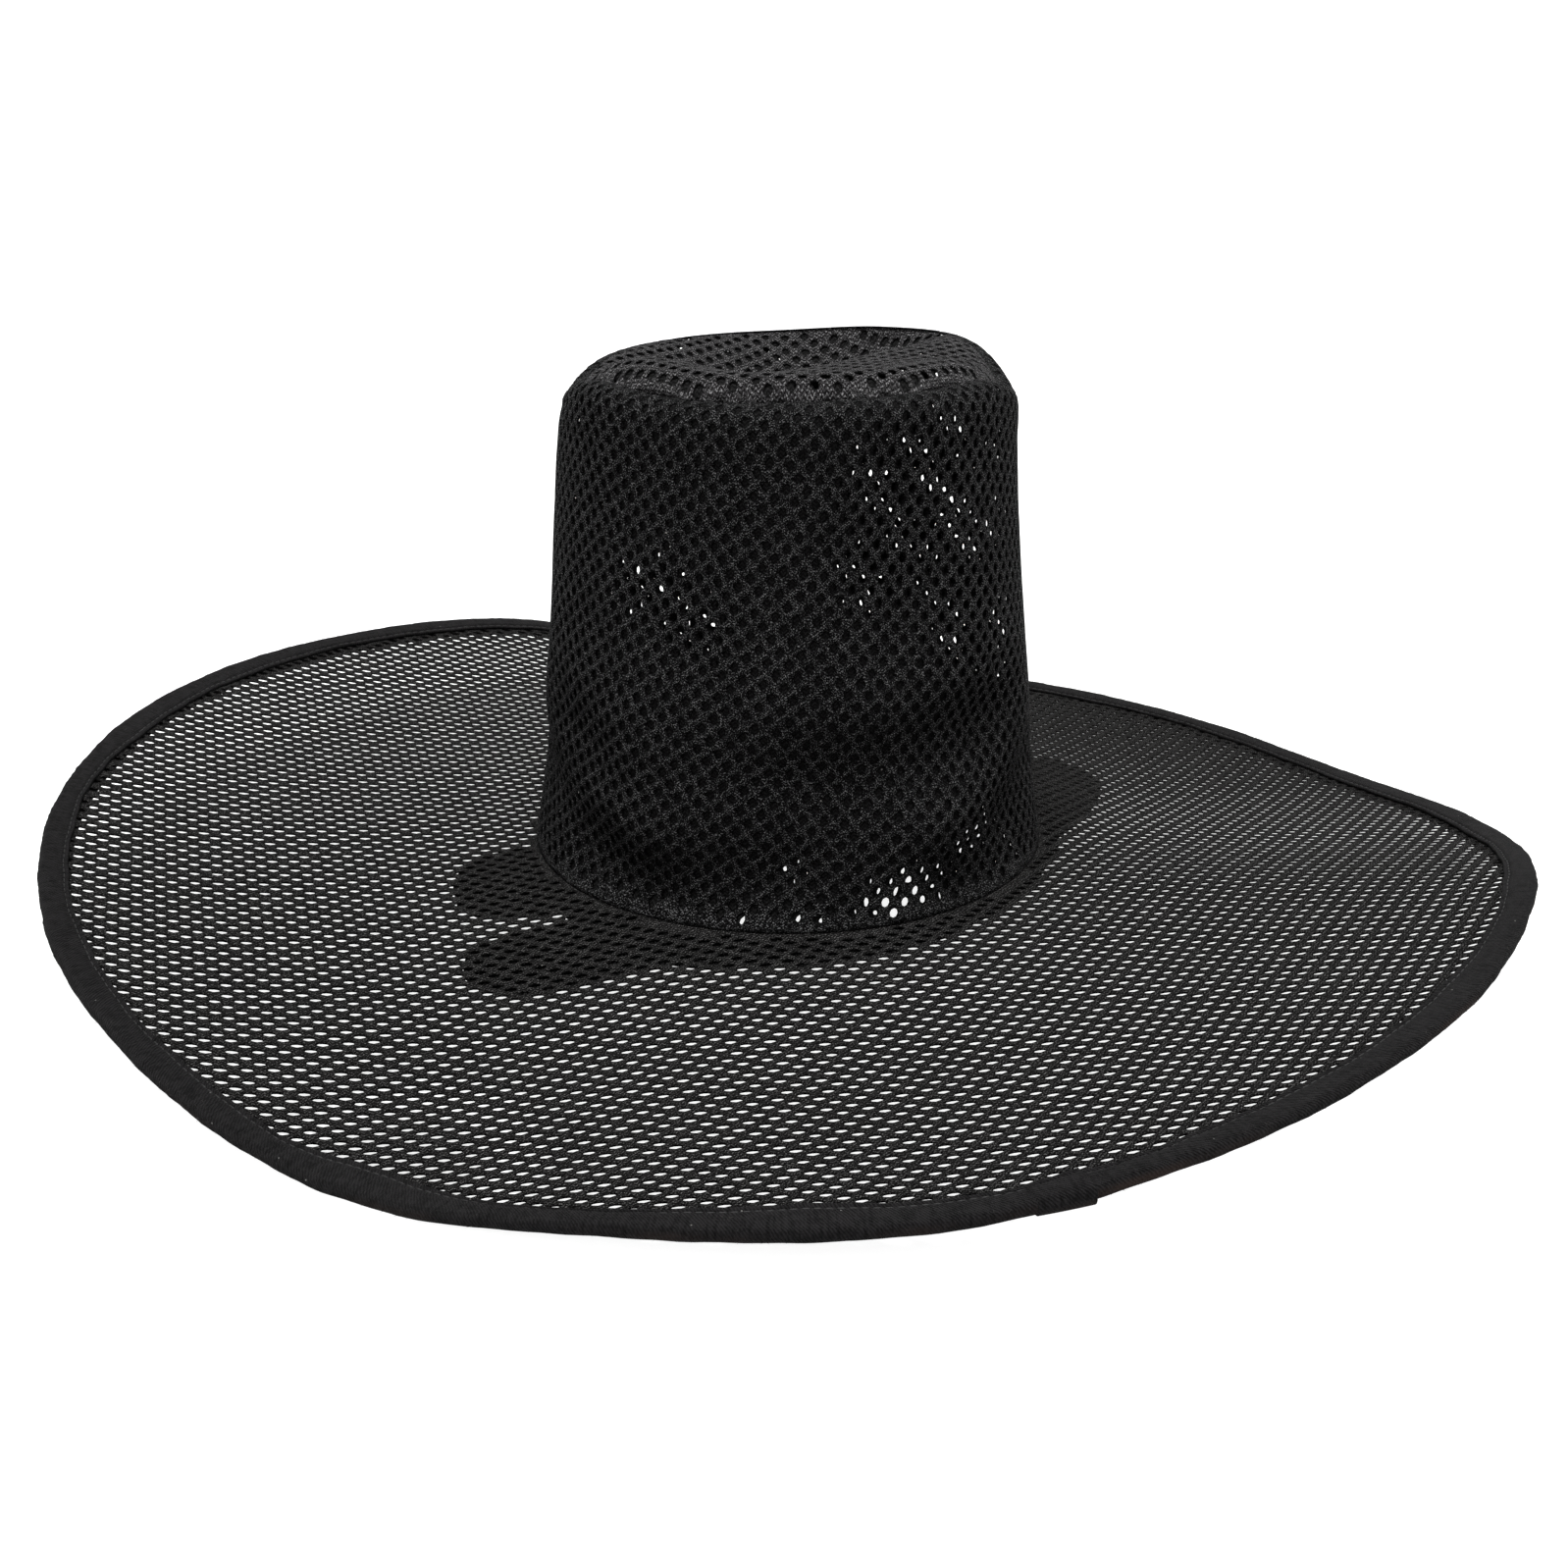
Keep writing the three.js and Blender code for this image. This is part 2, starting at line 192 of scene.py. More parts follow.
def crease(azimuth, height, ends, width, depth):
    """A fold of the wall along a line between two points. Across the line, with u the distance
    over the width, the wall stands out by depth times u times e to the power of (1 - u squared)
    over 2 below the line, and over (1 + u squared) above it, where it dies away more slowly.
    Past the line's ends it fades as a round hill."""
    flat = np.stack([WALL_PER_DEGREE * angle_between(azimuth, ends[0]), height - ends[1]], -1)
    line = np.array([WALL_PER_DEGREE * angle_between(ends[2], ends[0]), ends[3] - ends[1]])
    length = np.hypot(*line)
    along = flat @ line / length
    across = (flat[..., 1] * line[0] - flat[..., 0] * line[1]) / length * np.sign(line[0])
    past = np.maximum(0, np.maximum(-along, along - length))
    u = across / width
    fall = np.where(u < 0, np.exp((1 - u ** 2) / 2), np.exp(0.5) / (1 + u ** 2))
    return depth * u * fall * bump(past, width)


def crown_radius(azimuth, height):
    """Taper of the wall, plus its dents, each one a round hill on the wall, plus its creases.
    The dents die out just below the seam, and the creases just above the foot."""
    hold = np.minimum(1, (CROWN_HEIGHT - height) / SEAM_HOLD)
    radius = np.interp(height, PROFILE_HEIGHT, PROFILE_RADIUS)
    for *ends, width, depth in CREASES:
        radius = radius + crease(azimuth, height, ends, width, depth) * np.minimum(
            1, height / FOOT_HOLD)
    for azimuth_0, height_0, turn, tall, depth in CROWN_DENTS:
        hill = bump(angle_between(azimuth, azimuth_0), turn) * bump(height - height_0, tall)
        radius = radius + depth * hill * hold
    return radius


def crown_z(azimuth, height):
    """Height of a point of the wall: the top edge's rise comes in with the square of height."""
    return CROWN_BASE_Z + height + around(TOP_RISE, azimuth) * (height / CROWN_HEIGHT) ** 2


def tip_depth(x, y):
    """How deep the tip is crushed: a long hill turned upside down, steeper on its near side,
    less a few round hills beside it, and all of it fading to nothing at the seam."""
    angle = np.radians(VALLEY["turn"])
    dx, dy = x - VALLEY["x"], y - VALLEY["y"]
    along = dx * np.cos(angle) + dy * np.sin(angle)
    across = dy * np.cos(angle) - dx * np.sin(angle)
    width = np.where(across < 0, VALLEY["near_width"], VALLEY["far_width"])
    fade = 1 - (np.hypot(x, y) / TIP_RADIUS) ** 6
    depth = VALLEY["depth"] * bump(along, VALLEY["half_length"]) * bump(across, width)
    for x_0, y_0, wide, height in TIP_HILLS:
        depth = depth - height * bump(np.hypot(x - x_0, y - y_0), wide)
    return depth * fade


def tip_roll(azimuth, radius):
    """The tip's cloth rolls up over the seam: with u the way in over the roll's length, it
    stands u times e to the power of one less u, times the roll's height there."""
    u = (TIP_RADIUS - SEAM_GAP - radius).clip(0) / ROLL_LENGTH
    return around(TIP_ROLL, azimuth) * u * np.exp(1 - u)


print("edge reach, mm:", EDGE_REACH.min(), "to", EDGE_REACH.max())

# %% [markdown]
# ## Putting arrays into a mesh
#
# Blender takes points and faces fastest as whole arrays. `make_mesh` fills a mesh with quads
# and triangles in one go, and stores the cloth's own coordinates on every point, so that the
# weave follows the cloth wherever it bends. `grid_quads` makes the faces of any grid.

# %% Mesh helpers
def faces(*corners):
    """Rows of point numbers, one a face, from an array for each of its corners."""
    return np.stack(corners, -1).reshape(-1, len(corners))


def grid_quads(grid, close_rows=False, close_columns=False):
    """Faces between neighbours in a grid of point numbers. Closed means that its last row, or
    its last column, is joined to the first."""
    if close_rows:
        grid = np.concatenate([grid, grid[:1]])
    if close_columns:
        grid = np.concatenate([grid, grid[:, :1]], 1)
    return faces(grid[:-1, :-1], grid[1:, :-1], grid[1:, 1:], grid[:-1, 1:])


def make_mesh(name, points, quads, triangles=None, cloth=None):
    """Points in millimetres, faces as rows of point numbers, cloth as one row of three a point."""
    mesh = bpy.data.meshes.new(name)
    triangles = np.zeros((0, 3), int) if triangles is None else triangles
    mesh.vertices.add(len(points))
    mesh.vertices.foreach_set("co", np.ascontiguousarray(points * MM, dtype=np.float32).ravel())
    corners = np.concatenate([quads.ravel(), triangles.ravel()]).astype(np.int32)
    mesh.loops.add(len(corners))
    mesh.loops.foreach_set("vertex_index", corners)
    sizes = np.concatenate([np.full(len(quads), 4), np.full(len(triangles), 3)]).astype(np.int32)
    mesh.polygons.add(len(sizes))
    starts = np.concatenate([[0], np.cumsum(sizes)[:-1]]).astype(np.int32)
    mesh.polygons.foreach_set("loop_start", starts)
    mesh.polygons.foreach_set("use_smooth", np.full(len(sizes), True))
    if cloth is not None:
        layer = mesh.attributes.new("cloth", "FLOAT_VECTOR", "POINT")
        layer.data.foreach_set("vector", np.ascontiguousarray(cloth, dtype=np.float32).ravel())
    mesh.update(calc_edges=True)
    mesh.validate()
    print(name, "triangles:", 2 * len(quads) + len(triangles))
    return add_object(name, mesh)


def make_piece(*arrays, **more):
    """A mesh that belongs to the hat's one body."""
    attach(make_mesh(*arrays, **more), "root")


# %% [markdown]
# ## A net with real holes
#
# The net is knitted so that its holes stand in a diamond pattern. One hole and its share of the
# yarn is a rhombus, and rhombi tile the cloth without gaps. In cloth coordinates one unit is the
# rhombus's width or height. Holes stand wherever twice both coordinates are whole numbers with
# an even sum. Each rhombus has eight points on its rim, eight half way in and eight on the hole,
# which front and back share. Neighbours find their common rim points by whole-number keys.

# %% Net
RIM = np.array([[2, 0], [1, 1], [0, 2], [-1, 1], [-2, 0], [-1, -1], [0, -2], [1, -1]])
TURN_STEP = np.pi / 4
HALF_WAY = 0.3
BAR_FRONT, BAR_MID, BAR_HOLE, BAR_BACK = 0.7, 0.52, 0.02, -0.55
THROW_LIMITS = (-0.45, 0.3)


def lattice(wide, high):
    """All hole centres in quarter units, as whole numbers, for |p| up to wide and |q| to high."""
    i, j = np.meshgrid(np.arange(-2 * wide, 2 * wide + 1), np.arange(-2 * high, 2 * high + 1))
    keep = (i + j) % 2 == 0
    return np.stack([2 * i[keep], 2 * j[keep]], -1)


def knit_net(
        name, centres, place, holed, hole, wrap=lambda keys: keys, bars=1.0, vary=0.1, size=None,
        lean=0.0):
    """Builds a closed net. place takes cloth points in units and a lift off the cloth's middle
    in millimetres, and gives points in space and cloth coordinates in millimetres. holed says
    which rhombi are open, and hole is the half width and half height of an opening in units.
    No two openings are quite alike: vary is the usual share by which one is off in width and
    height, and it also lies off its middle by that share of half its size. size, where given,
    scales each rhombus's opening, or its width and height apart. lean is how far an opening's
    long axis rises along its length."""
    keys = centres[:, None, :] + RIM[None]
    flat_keys = wrap(keys.reshape(-1, 2))
    unique, rim = np.unique(flat_keys, axis=0, return_inverse=True)
    rim = rim.reshape(-1, 8)
    count = len(unique)
    # the rim of a rhombus that wraps round is placed from its own unwrapped key, which is the
    # same point in space
    first = np.zeros(count, int)
    first[rim.ravel()] = np.arange(rim.size)
    rim_units = keys.reshape(-1, 2)[first] / 4
    opened = centres[holed] / 4
    angle = np.arange(8) * TURN_STEP
    oval = np.stack([
        hole[0] * np.cos(angle), hole[1] * np.sin(angle) + lean * hole[0] * np.cos(angle)], -1)
    throw = np.random.default_rng(len(centres)).normal(0, vary, (len(opened), 2, 2))
    throw = throw.clip(*THROW_LIMITS)
    scale = (1 if size is None else size[holed].reshape(len(opened), 1, -1)) * (1 + throw[:, :1])
    hole_units = opened[:, None, :] + oval[None] * scale
    hole_units = hole_units + 0.5 * throw[:, 1:] * np.array(hole)
    mid_units = hole_units + (keys[holed] / 4 - hole_units) * HALF_WAY
    closed = centres[~holed] / 4
    layers = [
        (rim_units, BAR_FRONT * bars, 1.0), (rim_units, BAR_BACK * bars, 1.0),
        (hole_units.reshape(-1, 2), BAR_HOLE, 0.0), (mid_units.reshape(-1, 2), BAR_MID * bars, 0.5),
        (closed, BAR_FRONT * bars, 1.0), (closed, BAR_BACK * bars, 1.0)]
    points, cloths, starts = [], [], []
    for units, lift, across in layers:
        starts.append(sum(len(p) for p in points))
        at, cloth = place(units, lift)
        points.append(at)
        cloths.append(np.concatenate([cloth, np.full((len(cloth), 1), across)], -1))
    _, back, hole_0, mid_0, closed_front, closed_back = starts
    step = np.roll(np.arange(8), -1)
    open_rim, shut_rim = rim[holed], rim[~holed]
    ring = np.arange(len(opened) * 8).reshape(-1, 8)
    inner, middle = ring + hole_0, ring + mid_0
    quads = np.concatenate([
        faces(inner, middle, middle[:, step], inner[:, step]),
        faces(middle, open_rim, open_rim[:, step], middle[:, step]),
        faces(inner, inner[:, step], open_rim[:, step] + back, open_rim + back)])
    here = np.arange(len(closed))[:, None].repeat(8, 1)
    triangles = np.concatenate([
        faces(here + closed_front, shut_rim, shut_rim[:, step]),
        faces(here + closed_back, shut_rim[:, step] + back, shut_rim + back)])
    # a rim edge that only one rhombus has is the cut edge of the cloth, and gets a wall
    edges = np.stack([rim, rim[:, step]], -1).reshape(-1, 2)
    ordered = np.sort(edges, 1)
    _, where, how_often = np.unique(ordered, axis=0, return_inverse=True, return_counts=True)
    cut = edges[how_often[where.ravel()] == 1]
    walls = faces(cut[:, 1], cut[:, 0], cut[:, 0] + back, cut[:, 1] + back)
    make_piece(
        name, np.concatenate(points), np.concatenate([quads, walls]), triangles,
        np.concatenate(cloths))
    print(name, "holes:", len(opened), "solid rhombi:", len(closed))


# %% [markdown]
# ## Crown
#
# The crown is a tube of net. Its rows climb a little as they go round, so the pattern has to
# meet itself after one turn: 77.5 widths along and 10.5 heights up must come to one whole turn
# and no rise. The cloth is stretched a little round the foot, where the tube is wider.
# The tube is double. In the picture most holes are dark although the far wall is as open as the
# near one, and only a few patches sparkle white, where the holes of both layers happen to meet.
# So a lining net hangs just inside, shifted by half a hole, and the shift fades in those patches.

# %% Crown nets
TURN_UNITS = np.array([77.5, 10.5])
TURN_LENGTH = 512.0
TALL_VECTOR = np.array([1.2, 6.98])
WIDE_VECTOR = np.array([
    (TURN_LENGTH - TALL_VECTOR[0] * TURN_UNITS[1]) / TURN_UNITS[0],
    -TALL_VECTOR[1] * TURN_UNITS[1] / TURN_UNITS[0]])
CUT_LINE = 0.0137
FOOT = BRIM_CLOTH / 2 + 0.1
CROWN_HOLE = (0.178, 0.222)
LINING_HOLE = (0.185, 0.225)
FIRST_AZIMUTH = 90.0
OUTER_DEPTH = 0.6
LINING_DEPTH = 1.45
CELL_REACH = 3.3
SLIP = 0.5

# azimuth, height, turn, tall, slip, size: where the lining's holes meet the outer ones. At the
# sides the wall is seen slantwise, and there they meet with a slip between the layers.
SPARKLES = np.array([
    [236, 108, 18, 16, 0.0, 0.45], [248, 97, 12, 13, 0.0, 0.4], [299, 134, 19, 28, 0.0, 0.3],
    [290, 115, 13, 16, 0.0, 0.25], [314, 100, 16, 28, 0.1, 0.3], [325, 82, 14, 24, 0.2, 0.3],
    [338, 125, 12, 40, 0.38, 0.3], [294, 8, 11, 11, 0.0, 0.75], [267, 2.0, 20, 4.0, 0.0, 0.35],
    [269, 20, 6, 6, 0.1, -0.1], [313, 21, 5, 4, 0.1, 0.0], [90, 130, 75, 130, 0.0, 0.7],
    [40, 125, 24, 120, -0.13, 0.6], [140, 110, 24, 110, 0.13, 0.7], [16, 110, 12, 90, 0.66, 0.45]])


def turn_wrap(keys):
    """Brings a quarter-unit key back into one turn of the tube."""
    along = (keys / 4) @ np.array([WIDE_VECTOR[0], TALL_VECTOR[0]])
    turns = np.floor((along - CUT_LINE) / TURN_LENGTH).astype(int)
    return keys - turns[:, None] * np.round(4 * TURN_UNITS).astype(int)[None]


def crown_units_to_wall(units):
    """Azimuth of cloth points and how far up the wall they lie, along its curve: units times
    the two cloth vectors, the first part taken as a share of one turn."""
    flat = units[:, :1] * WIDE_VECTOR + units[:, 1:] * TALL_VECTOR
    return FIRST_AZIMUTH + 360 * flat[:, 0] / TURN_LENGTH, flat[:, 1], flat


def crown_place(depth, low, high):
    """Places cloth points on the wall, a given depth under its outer face."""
    def place(units, lift):
        azimuth, climb, flat = crown_units_to_wall(units)
        height = np.interp(np.clip(climb, low, high), PROFILE_LENGTH, PROFILE_HEIGHT)
        radius = crown_radius(azimuth, height) - depth + lift
        return on_axis(azimuth, radius, crown_z(azimuth, height)), flat
    return place


def crown_cells(low, high, foot_margin, top_margin):
    """Centres whose rhombus reaches the wall, and which of them are far enough in to be open."""
    centres = lattice(95, 40)
    along = (centres / 4) @ np.array([WIDE_VECTOR[0], TALL_VECTOR[0]])
    _, climb, _ = crown_units_to_wall(centres / 4)
    keep = (along > CUT_LINE) & (along <= CUT_LINE + TURN_LENGTH)
    keep &= (climb > low - CELL_REACH) & (climb < high + CELL_REACH)
    holed = (climb > low + foot_margin) & (climb < high - top_margin)
    return centres[keep], holed[keep]


WALL_LENGTH = PROFILE_LENGTH[-1]
print("wall from foot to seam, along its curve, mm:", round(float(WALL_LENGTH), 1))
crown_centres, crown_open = crown_cells(
    FOOT, WALL_LENGTH, foot_margin=3.0, top_margin=1.7)
knit_net(
    "crown_net", crown_centres, crown_place(OUTER_DEPTH, FOOT, WALL_LENGTH), crown_open,
    CROWN_HOLE, turn_wrap, vary=0.06)


def crown_sparkle(units):
    """Slip of the lining and added size of its holes. The slip is half a unit, drawn towards a
    patch's own slip by the highest of the patches' round hills. The size is that patch's size
    times its hill."""
    azimuth, climb, _ = crown_units_to_wall(units)
    hills = np.stack([
        bump(angle_between(azimuth, azimuth_0), turn) * bump(climb - height_0, tall)
        for azimuth_0, height_0, turn, tall, _, _ in SPARKLES])
    highest, where = hills.max(0), hills.argmax(0)
    return SLIP + (SPARKLES[where, 4] - SLIP) * highest, SPARKLES[where, 5] * highest


LINING_SPAN = (FOOT + 0.5, WALL_LENGTH - 1.5)


def lining_place(units, lift):
    """As the crown's wall, deeper, with the cloth slipped sideways by half a unit except in the
    sparkling patches."""
    slip, _ = crown_sparkle(units)
    moved = units + np.stack([slip, np.zeros_like(slip)], -1)
    return crown_place(LINING_DEPTH, *LINING_SPAN)(moved, lift)


lining_centres, lining_open = crown_cells(*LINING_SPAN, foot_margin=2.0, top_margin=2.0)
lining_dice = np.random.default_rng(3).uniform(0.2, 1.8, len(lining_centres))
lining_size = np.minimum(0.55 + lining_dice * crown_sparkle(lining_centres / 4)[1], 1.4)
knit_net(
    "crown_lining", lining_centres, lining_place, lining_open, LINING_HOLE, turn_wrap, bars=0.5,
    vary=0.3, size=lining_size)

# %% [markdown]
# ## Tip
#
# The tip is a disc of the same net, pushed in by hand so that a valley runs across it. It is
# sewn to the wall, and no holes are open right at the seam. Its pattern lies straight.

# %% Tip net
TIP_WIDE, TIP_HIGH, TIP_TURN = 6.9, 6.2, 4.0
TIP_HOLE = (0.178, 0.2)
TIP_EDGE = TIP_RADIUS - 0.1
TIP_REACH, TIP_SEAM, LINING_SEAM = 2.8, 1.6, 3.2


def turned(x, y, degrees):
    """The two coordinates turned anticlockwise."""
    angle = np.radians(degrees)
    return x * np.cos(angle) - y * np.sin(angle), x * np.sin(angle) + y * np.cos(angle)


def tip_place(units, lift):
    """Height of the tip: the rise of its seam times the square of the share of the radius,
    less the valley, plus the roll."""
    flat = units * np.array([TIP_WIDE, TIP_HIGH])
    x, y = turned(flat[:, 0], flat[:, 1], TIP_TURN)
    radius = np.hypot(x, y)
    azimuth = np.degrees(np.arctan2(y, x))
    radius = np.minimum(radius, TIP_EDGE)
    share = radius / TIP_EDGE
    z = CROWN_BASE_Z + CROWN_HEIGHT + around(TOP_RISE, azimuth) * share ** 2 - OUTER_DEPTH
    angle = np.radians(azimuth)
    z = z - tip_depth(radius * np.cos(angle), radius * np.sin(angle))
    z = z + tip_roll(azimuth, radius) + lift
    return on_axis(azimuth, radius, z), flat


tip_centres = lattice(14, 14)
tip_distance = np.hypot(tip_centres[:, 0] / 4 * TIP_WIDE, tip_centres[:, 1] / 4 * TIP_HIGH)
tip_keep = tip_distance < TIP_EDGE + TIP_REACH
tip_centres, tip_distance = tip_centres[tip_keep], tip_distance[tip_keep]
knit_net(
    "tip_net", tip_centres, tip_place, tip_distance < TIP_EDGE - TIP_SEAM, TIP_HOLE, bars=0.6)

# x, y, wide: where the two layers of the tip let light through
TIP_SPARKLES = np.array([[30, -54, 20], [8, -60, 10], [-38, 52, 7], [-8, 58, 5]])
TIP_SLANT = 0.22


def tip_sparkle(units):
    """The highest of the round hills of the tip's patches, from 0 to 1."""
    x, y = turned(units[:, 0] * TIP_WIDE, units[:, 1] * TIP_HIGH, TIP_TURN)
    hills = [bump(np.hypot(x - x_0, y - y_0), wide) for x_0, y_0, wide in TIP_SPARKLES]
    return np.max(hills, axis=0)


def tip_lining_place(units, lift):
    """As the tip, a layer lower. Its holes lie under the outer ones along a slanting line of
    sight in the sparkling patches, and off them by half a unit elsewhere."""
    meet = tip_sparkle(units)
    moved = units + np.stack([SLIP * (1 - meet), TIP_SLANT * meet], -1)
    points, cloth = tip_place(moved, lift)
    return points - np.array([0, 0, LINING_DEPTH - OUTER_DEPTH]), cloth


knit_net(
    "tip_lining", tip_centres, tip_lining_place, tip_distance < TIP_EDGE - LINING_SEAM, TIP_HOLE,
    bars=0.4, size=0.45 + 0.95 * tip_sparkle(tip_centres / 4))

# %% [markdown]
# ## Brim
#
# The brim is one flat ring of net. Seen from above its long hole axis lies fifteen degrees
# off the wearer's left and right, and the rows bow slightly, because the cloth was pulled as
# it was sewn. The bow is a few small square terms added to a straight lattice. Cells under the
# tape are solid, where nobody sees them. It is made as a front and a back half that meet rhombus
# to rhombus, so that neither mesh grows too heavy.
#
# On the far right the cloth lies almost along the line of sight. There thick bars would hide the
# holes behind them and long holes would run together, so the tables make the bars thinner and
# the holes shorter by their turn round the crown.

# %% Brim nets
BRIM_LONG, BRIM_SHORT = 7.08, 6.07
BRIM_X = np.array([6.846, -1.882, -0.0043, -0.0065, 0.0012])
BRIM_Y = np.array([1.803, 5.771, 0.0042, -0.0067, 0.0044])
BRIM_HOLE = (0.238, 0.112)
BRIM_LEAN = -0.18
BRIM_BARS = 0.8
BRIM_REACH, BRIM_SEAM, TAPE_COVER = 2.4, 3.4, 5.6
# turn round the crown, with how thick the bars are there at two radii
BAR_NEAR, BAR_FAR = 105, 225
BAR_AZIMUTH = [-180, -160, -25, 0, 15, 35, 75, 100, 180]
BAR_INNER = [0.85, 1.0, 0.9, 0.6, 0.42, 0.48, 0.6, 0.8, 0.85]
BAR_OUTER = [0.85, 1.0, 0.85, 0.5, 0.66, 1.15, 1.25, 0.85, 0.85]
# turn round the crown, with how long and how high the holes are there
HOLE_AZIMUTH = [-180, -155, -60, -20, 0, 15, 40, 80, 105, 180]
HOLE_LONG = [1.12, 1.02, 1.02, 0.88, 0.7, 0.55, 0.5, 0.54, 1.14, 1.12]
HOLE_HIGH = [0.84, 0.94, 0.88, 0.74, 0.92, 1.0, 0.8, 0.7, 0.86, 0.84]


def brim_units_to_plan(units):
    """Plan position from the crown's axis: each coordinate is a sum of p, q, p squared, p times
    q and q squared, with a weight for each."""
    p, q = units[:, 0], units[:, 1]
    terms = np.stack([p, q, p * p, p * q, q * q], -1)
    return (terms @ BRIM_X, terms @ BRIM_Y), units * np.array([BRIM_LONG, BRIM_SHORT])


def brim_place(units, lift):
    """Keeps the point between the head opening and the cut edge, and lays it on the brim. Its
    lift is scaled by the tables for the bars, from the inner one to the outer one."""
    (x, y), flat = brim_units_to_plan(units)
    azimuth = np.degrees(np.arctan2(y, x))
    radius = np.clip(np.hypot(x, y), HEAD_OPENING, edge_radius(azimuth) - 0.1)
    out = np.clip((radius - BAR_NEAR) / (BAR_FAR - BAR_NEAR), 0, 1)
    inner, outer = (np.interp(azimuth, BAR_AZIMUTH, column) for column in (BAR_INNER, BAR_OUTER))
    thin = (1 - out) * inner + out * outer
    return on_axis(azimuth, radius, brim_z(azimuth, radius) + lift * thin), flat


brim_centres = lattice(36, 46)
(brim_x, brim_y), _ = brim_units_to_plan(brim_centres / 4)
brim_azimuth = np.degrees(np.arctan2(brim_y, brim_x))
brim_distance = np.hypot(brim_x, brim_y)
brim_edge = edge_radius(brim_azimuth)
brim_keep = (brim_distance > HEAD_OPENING - BRIM_REACH) & (brim_distance < brim_edge + BRIM_REACH)
brim_open = (brim_distance > HEAD_OPENING + BRIM_SEAM) & (brim_distance < brim_edge - TAPE_COVER)
brim_size = np.stack([
    np.interp(brim_azimuth, HOLE_AZIMUTH, scale) for scale in (HOLE_LONG, HOLE_HIGH)], -1)
for half, side in (("brim_net_front", brim_y < 0), ("brim_net_back", brim_y >= 0)):
    chosen = brim_keep & side
    knit_net(
        half, brim_centres[chosen], brim_place, brim_open[chosen], BRIM_HOLE, bars=BRIM_BARS,
        vary=0.04, size=brim_size[chosen], lean=BRIM_LEAN)

# %% [markdown]
# ## Backing band
#
# Under the brim, round the head opening, the crown's spare cloth is spread out flat and makes
# the brim look solid there. It has three loose tongues, two on the left and one on the right.
# The ring is a profile carried round. A tongue is a patch between two edges: its points lie on
# straight lines from one edge to the other.

# %% Band
BAND_CLOTH = 0.8
BAND_TOP = -BRIM_CLOTH / 2 - 0.05
BAND_STEPS = 240
BAND_MEAN = 95
BAND_REACH = np.array([97.0, 100, 101, 102, 100, 94, 89.5, 93, 106, 103, 99, 94.5])
TONGUE_EDGES = {
    "band_tongue_upper": (
        [(-76, -12), (-88, -16), (-99, -19.5), (-106, -24), (-109.5, -31), (-110.5, -40)],
        [(-62, -62), (-75, -64.5), (-90, -65), (-100, -63), (-107, -56), (-110.2, -44)]),
    "band_tongue_lower": (
        [(-62, -68), (-74, -72.5), (-87, -76), (-95, -79.5), (-99.5, -86), (-100, -92)],
        [(-20, -94), (-45, -100), (-62, -105), (-78, -108.5), (-92, -106.5), (-98, -99)]),
    "band_tongue_right": (
        [(84, -20), (97, -8), (108, 12), (118, 38), (124, 60), (125.5, 72)],
        [(60, 76), (82, 90), (96, 99), (110, 100), (120, 92), (124.5, 78)]),
}


def ring_quads(loops):
    """Faces of a closed ring of closed loops, loops being steps by points by three."""
    return grid_quads(np.arange(loops.size // 3).reshape(loops.shape[:2]), True, True)


band_azimuth = once_round(BAND_STEPS)
band_width = around(BAND_REACH, band_azimuth) + 0.5 * np.sin(np.radians(band_azimuth * 23))
band_share = np.linspace(0, 1, 5)
band_radius = HEAD_OPENING + (band_width[:, None] - HEAD_OPENING) * band_share
band_turn = np.repeat(band_azimuth[:, None], len(band_share), 1)
band_middle = brim_z(band_turn, band_radius) + BAND_TOP
band_upper = on_axis(band_turn, band_radius, band_middle)
band_lower = on_axis(band_turn, band_radius, band_middle - BAND_CLOTH)
band_loops = np.concatenate([band_lower, band_upper[:, ::-1]], 1)
band_flat = np.stack([
    np.radians(band_turn) * BAND_MEAN, band_radius, np.ones_like(band_radius)], -1)
band_cloth = np.concatenate([band_flat, band_flat[:, ::-1]], 1).reshape(-1, 3)
make_piece("band_ring", band_loops.reshape(-1, 3), ring_quads(band_loops), cloth=band_cloth)


def patch_quads(rows, columns):
    """Faces of a grid patch with its underside and the wall round its four sides."""
    count = rows * columns
    top = np.arange(count).reshape(rows, columns)
    upper = grid_quads(top)
    rim = np.concatenate([top[:-1, 0], top[-1, :-1], top[:0:-1, -1], top[0, :0:-1]])
    rim_next = np.roll(rim, -1)
    wall = faces(rim_next, rim, rim + count, rim_next + count)
    return np.concatenate([upper, upper[:, ::-1] + count, wall])


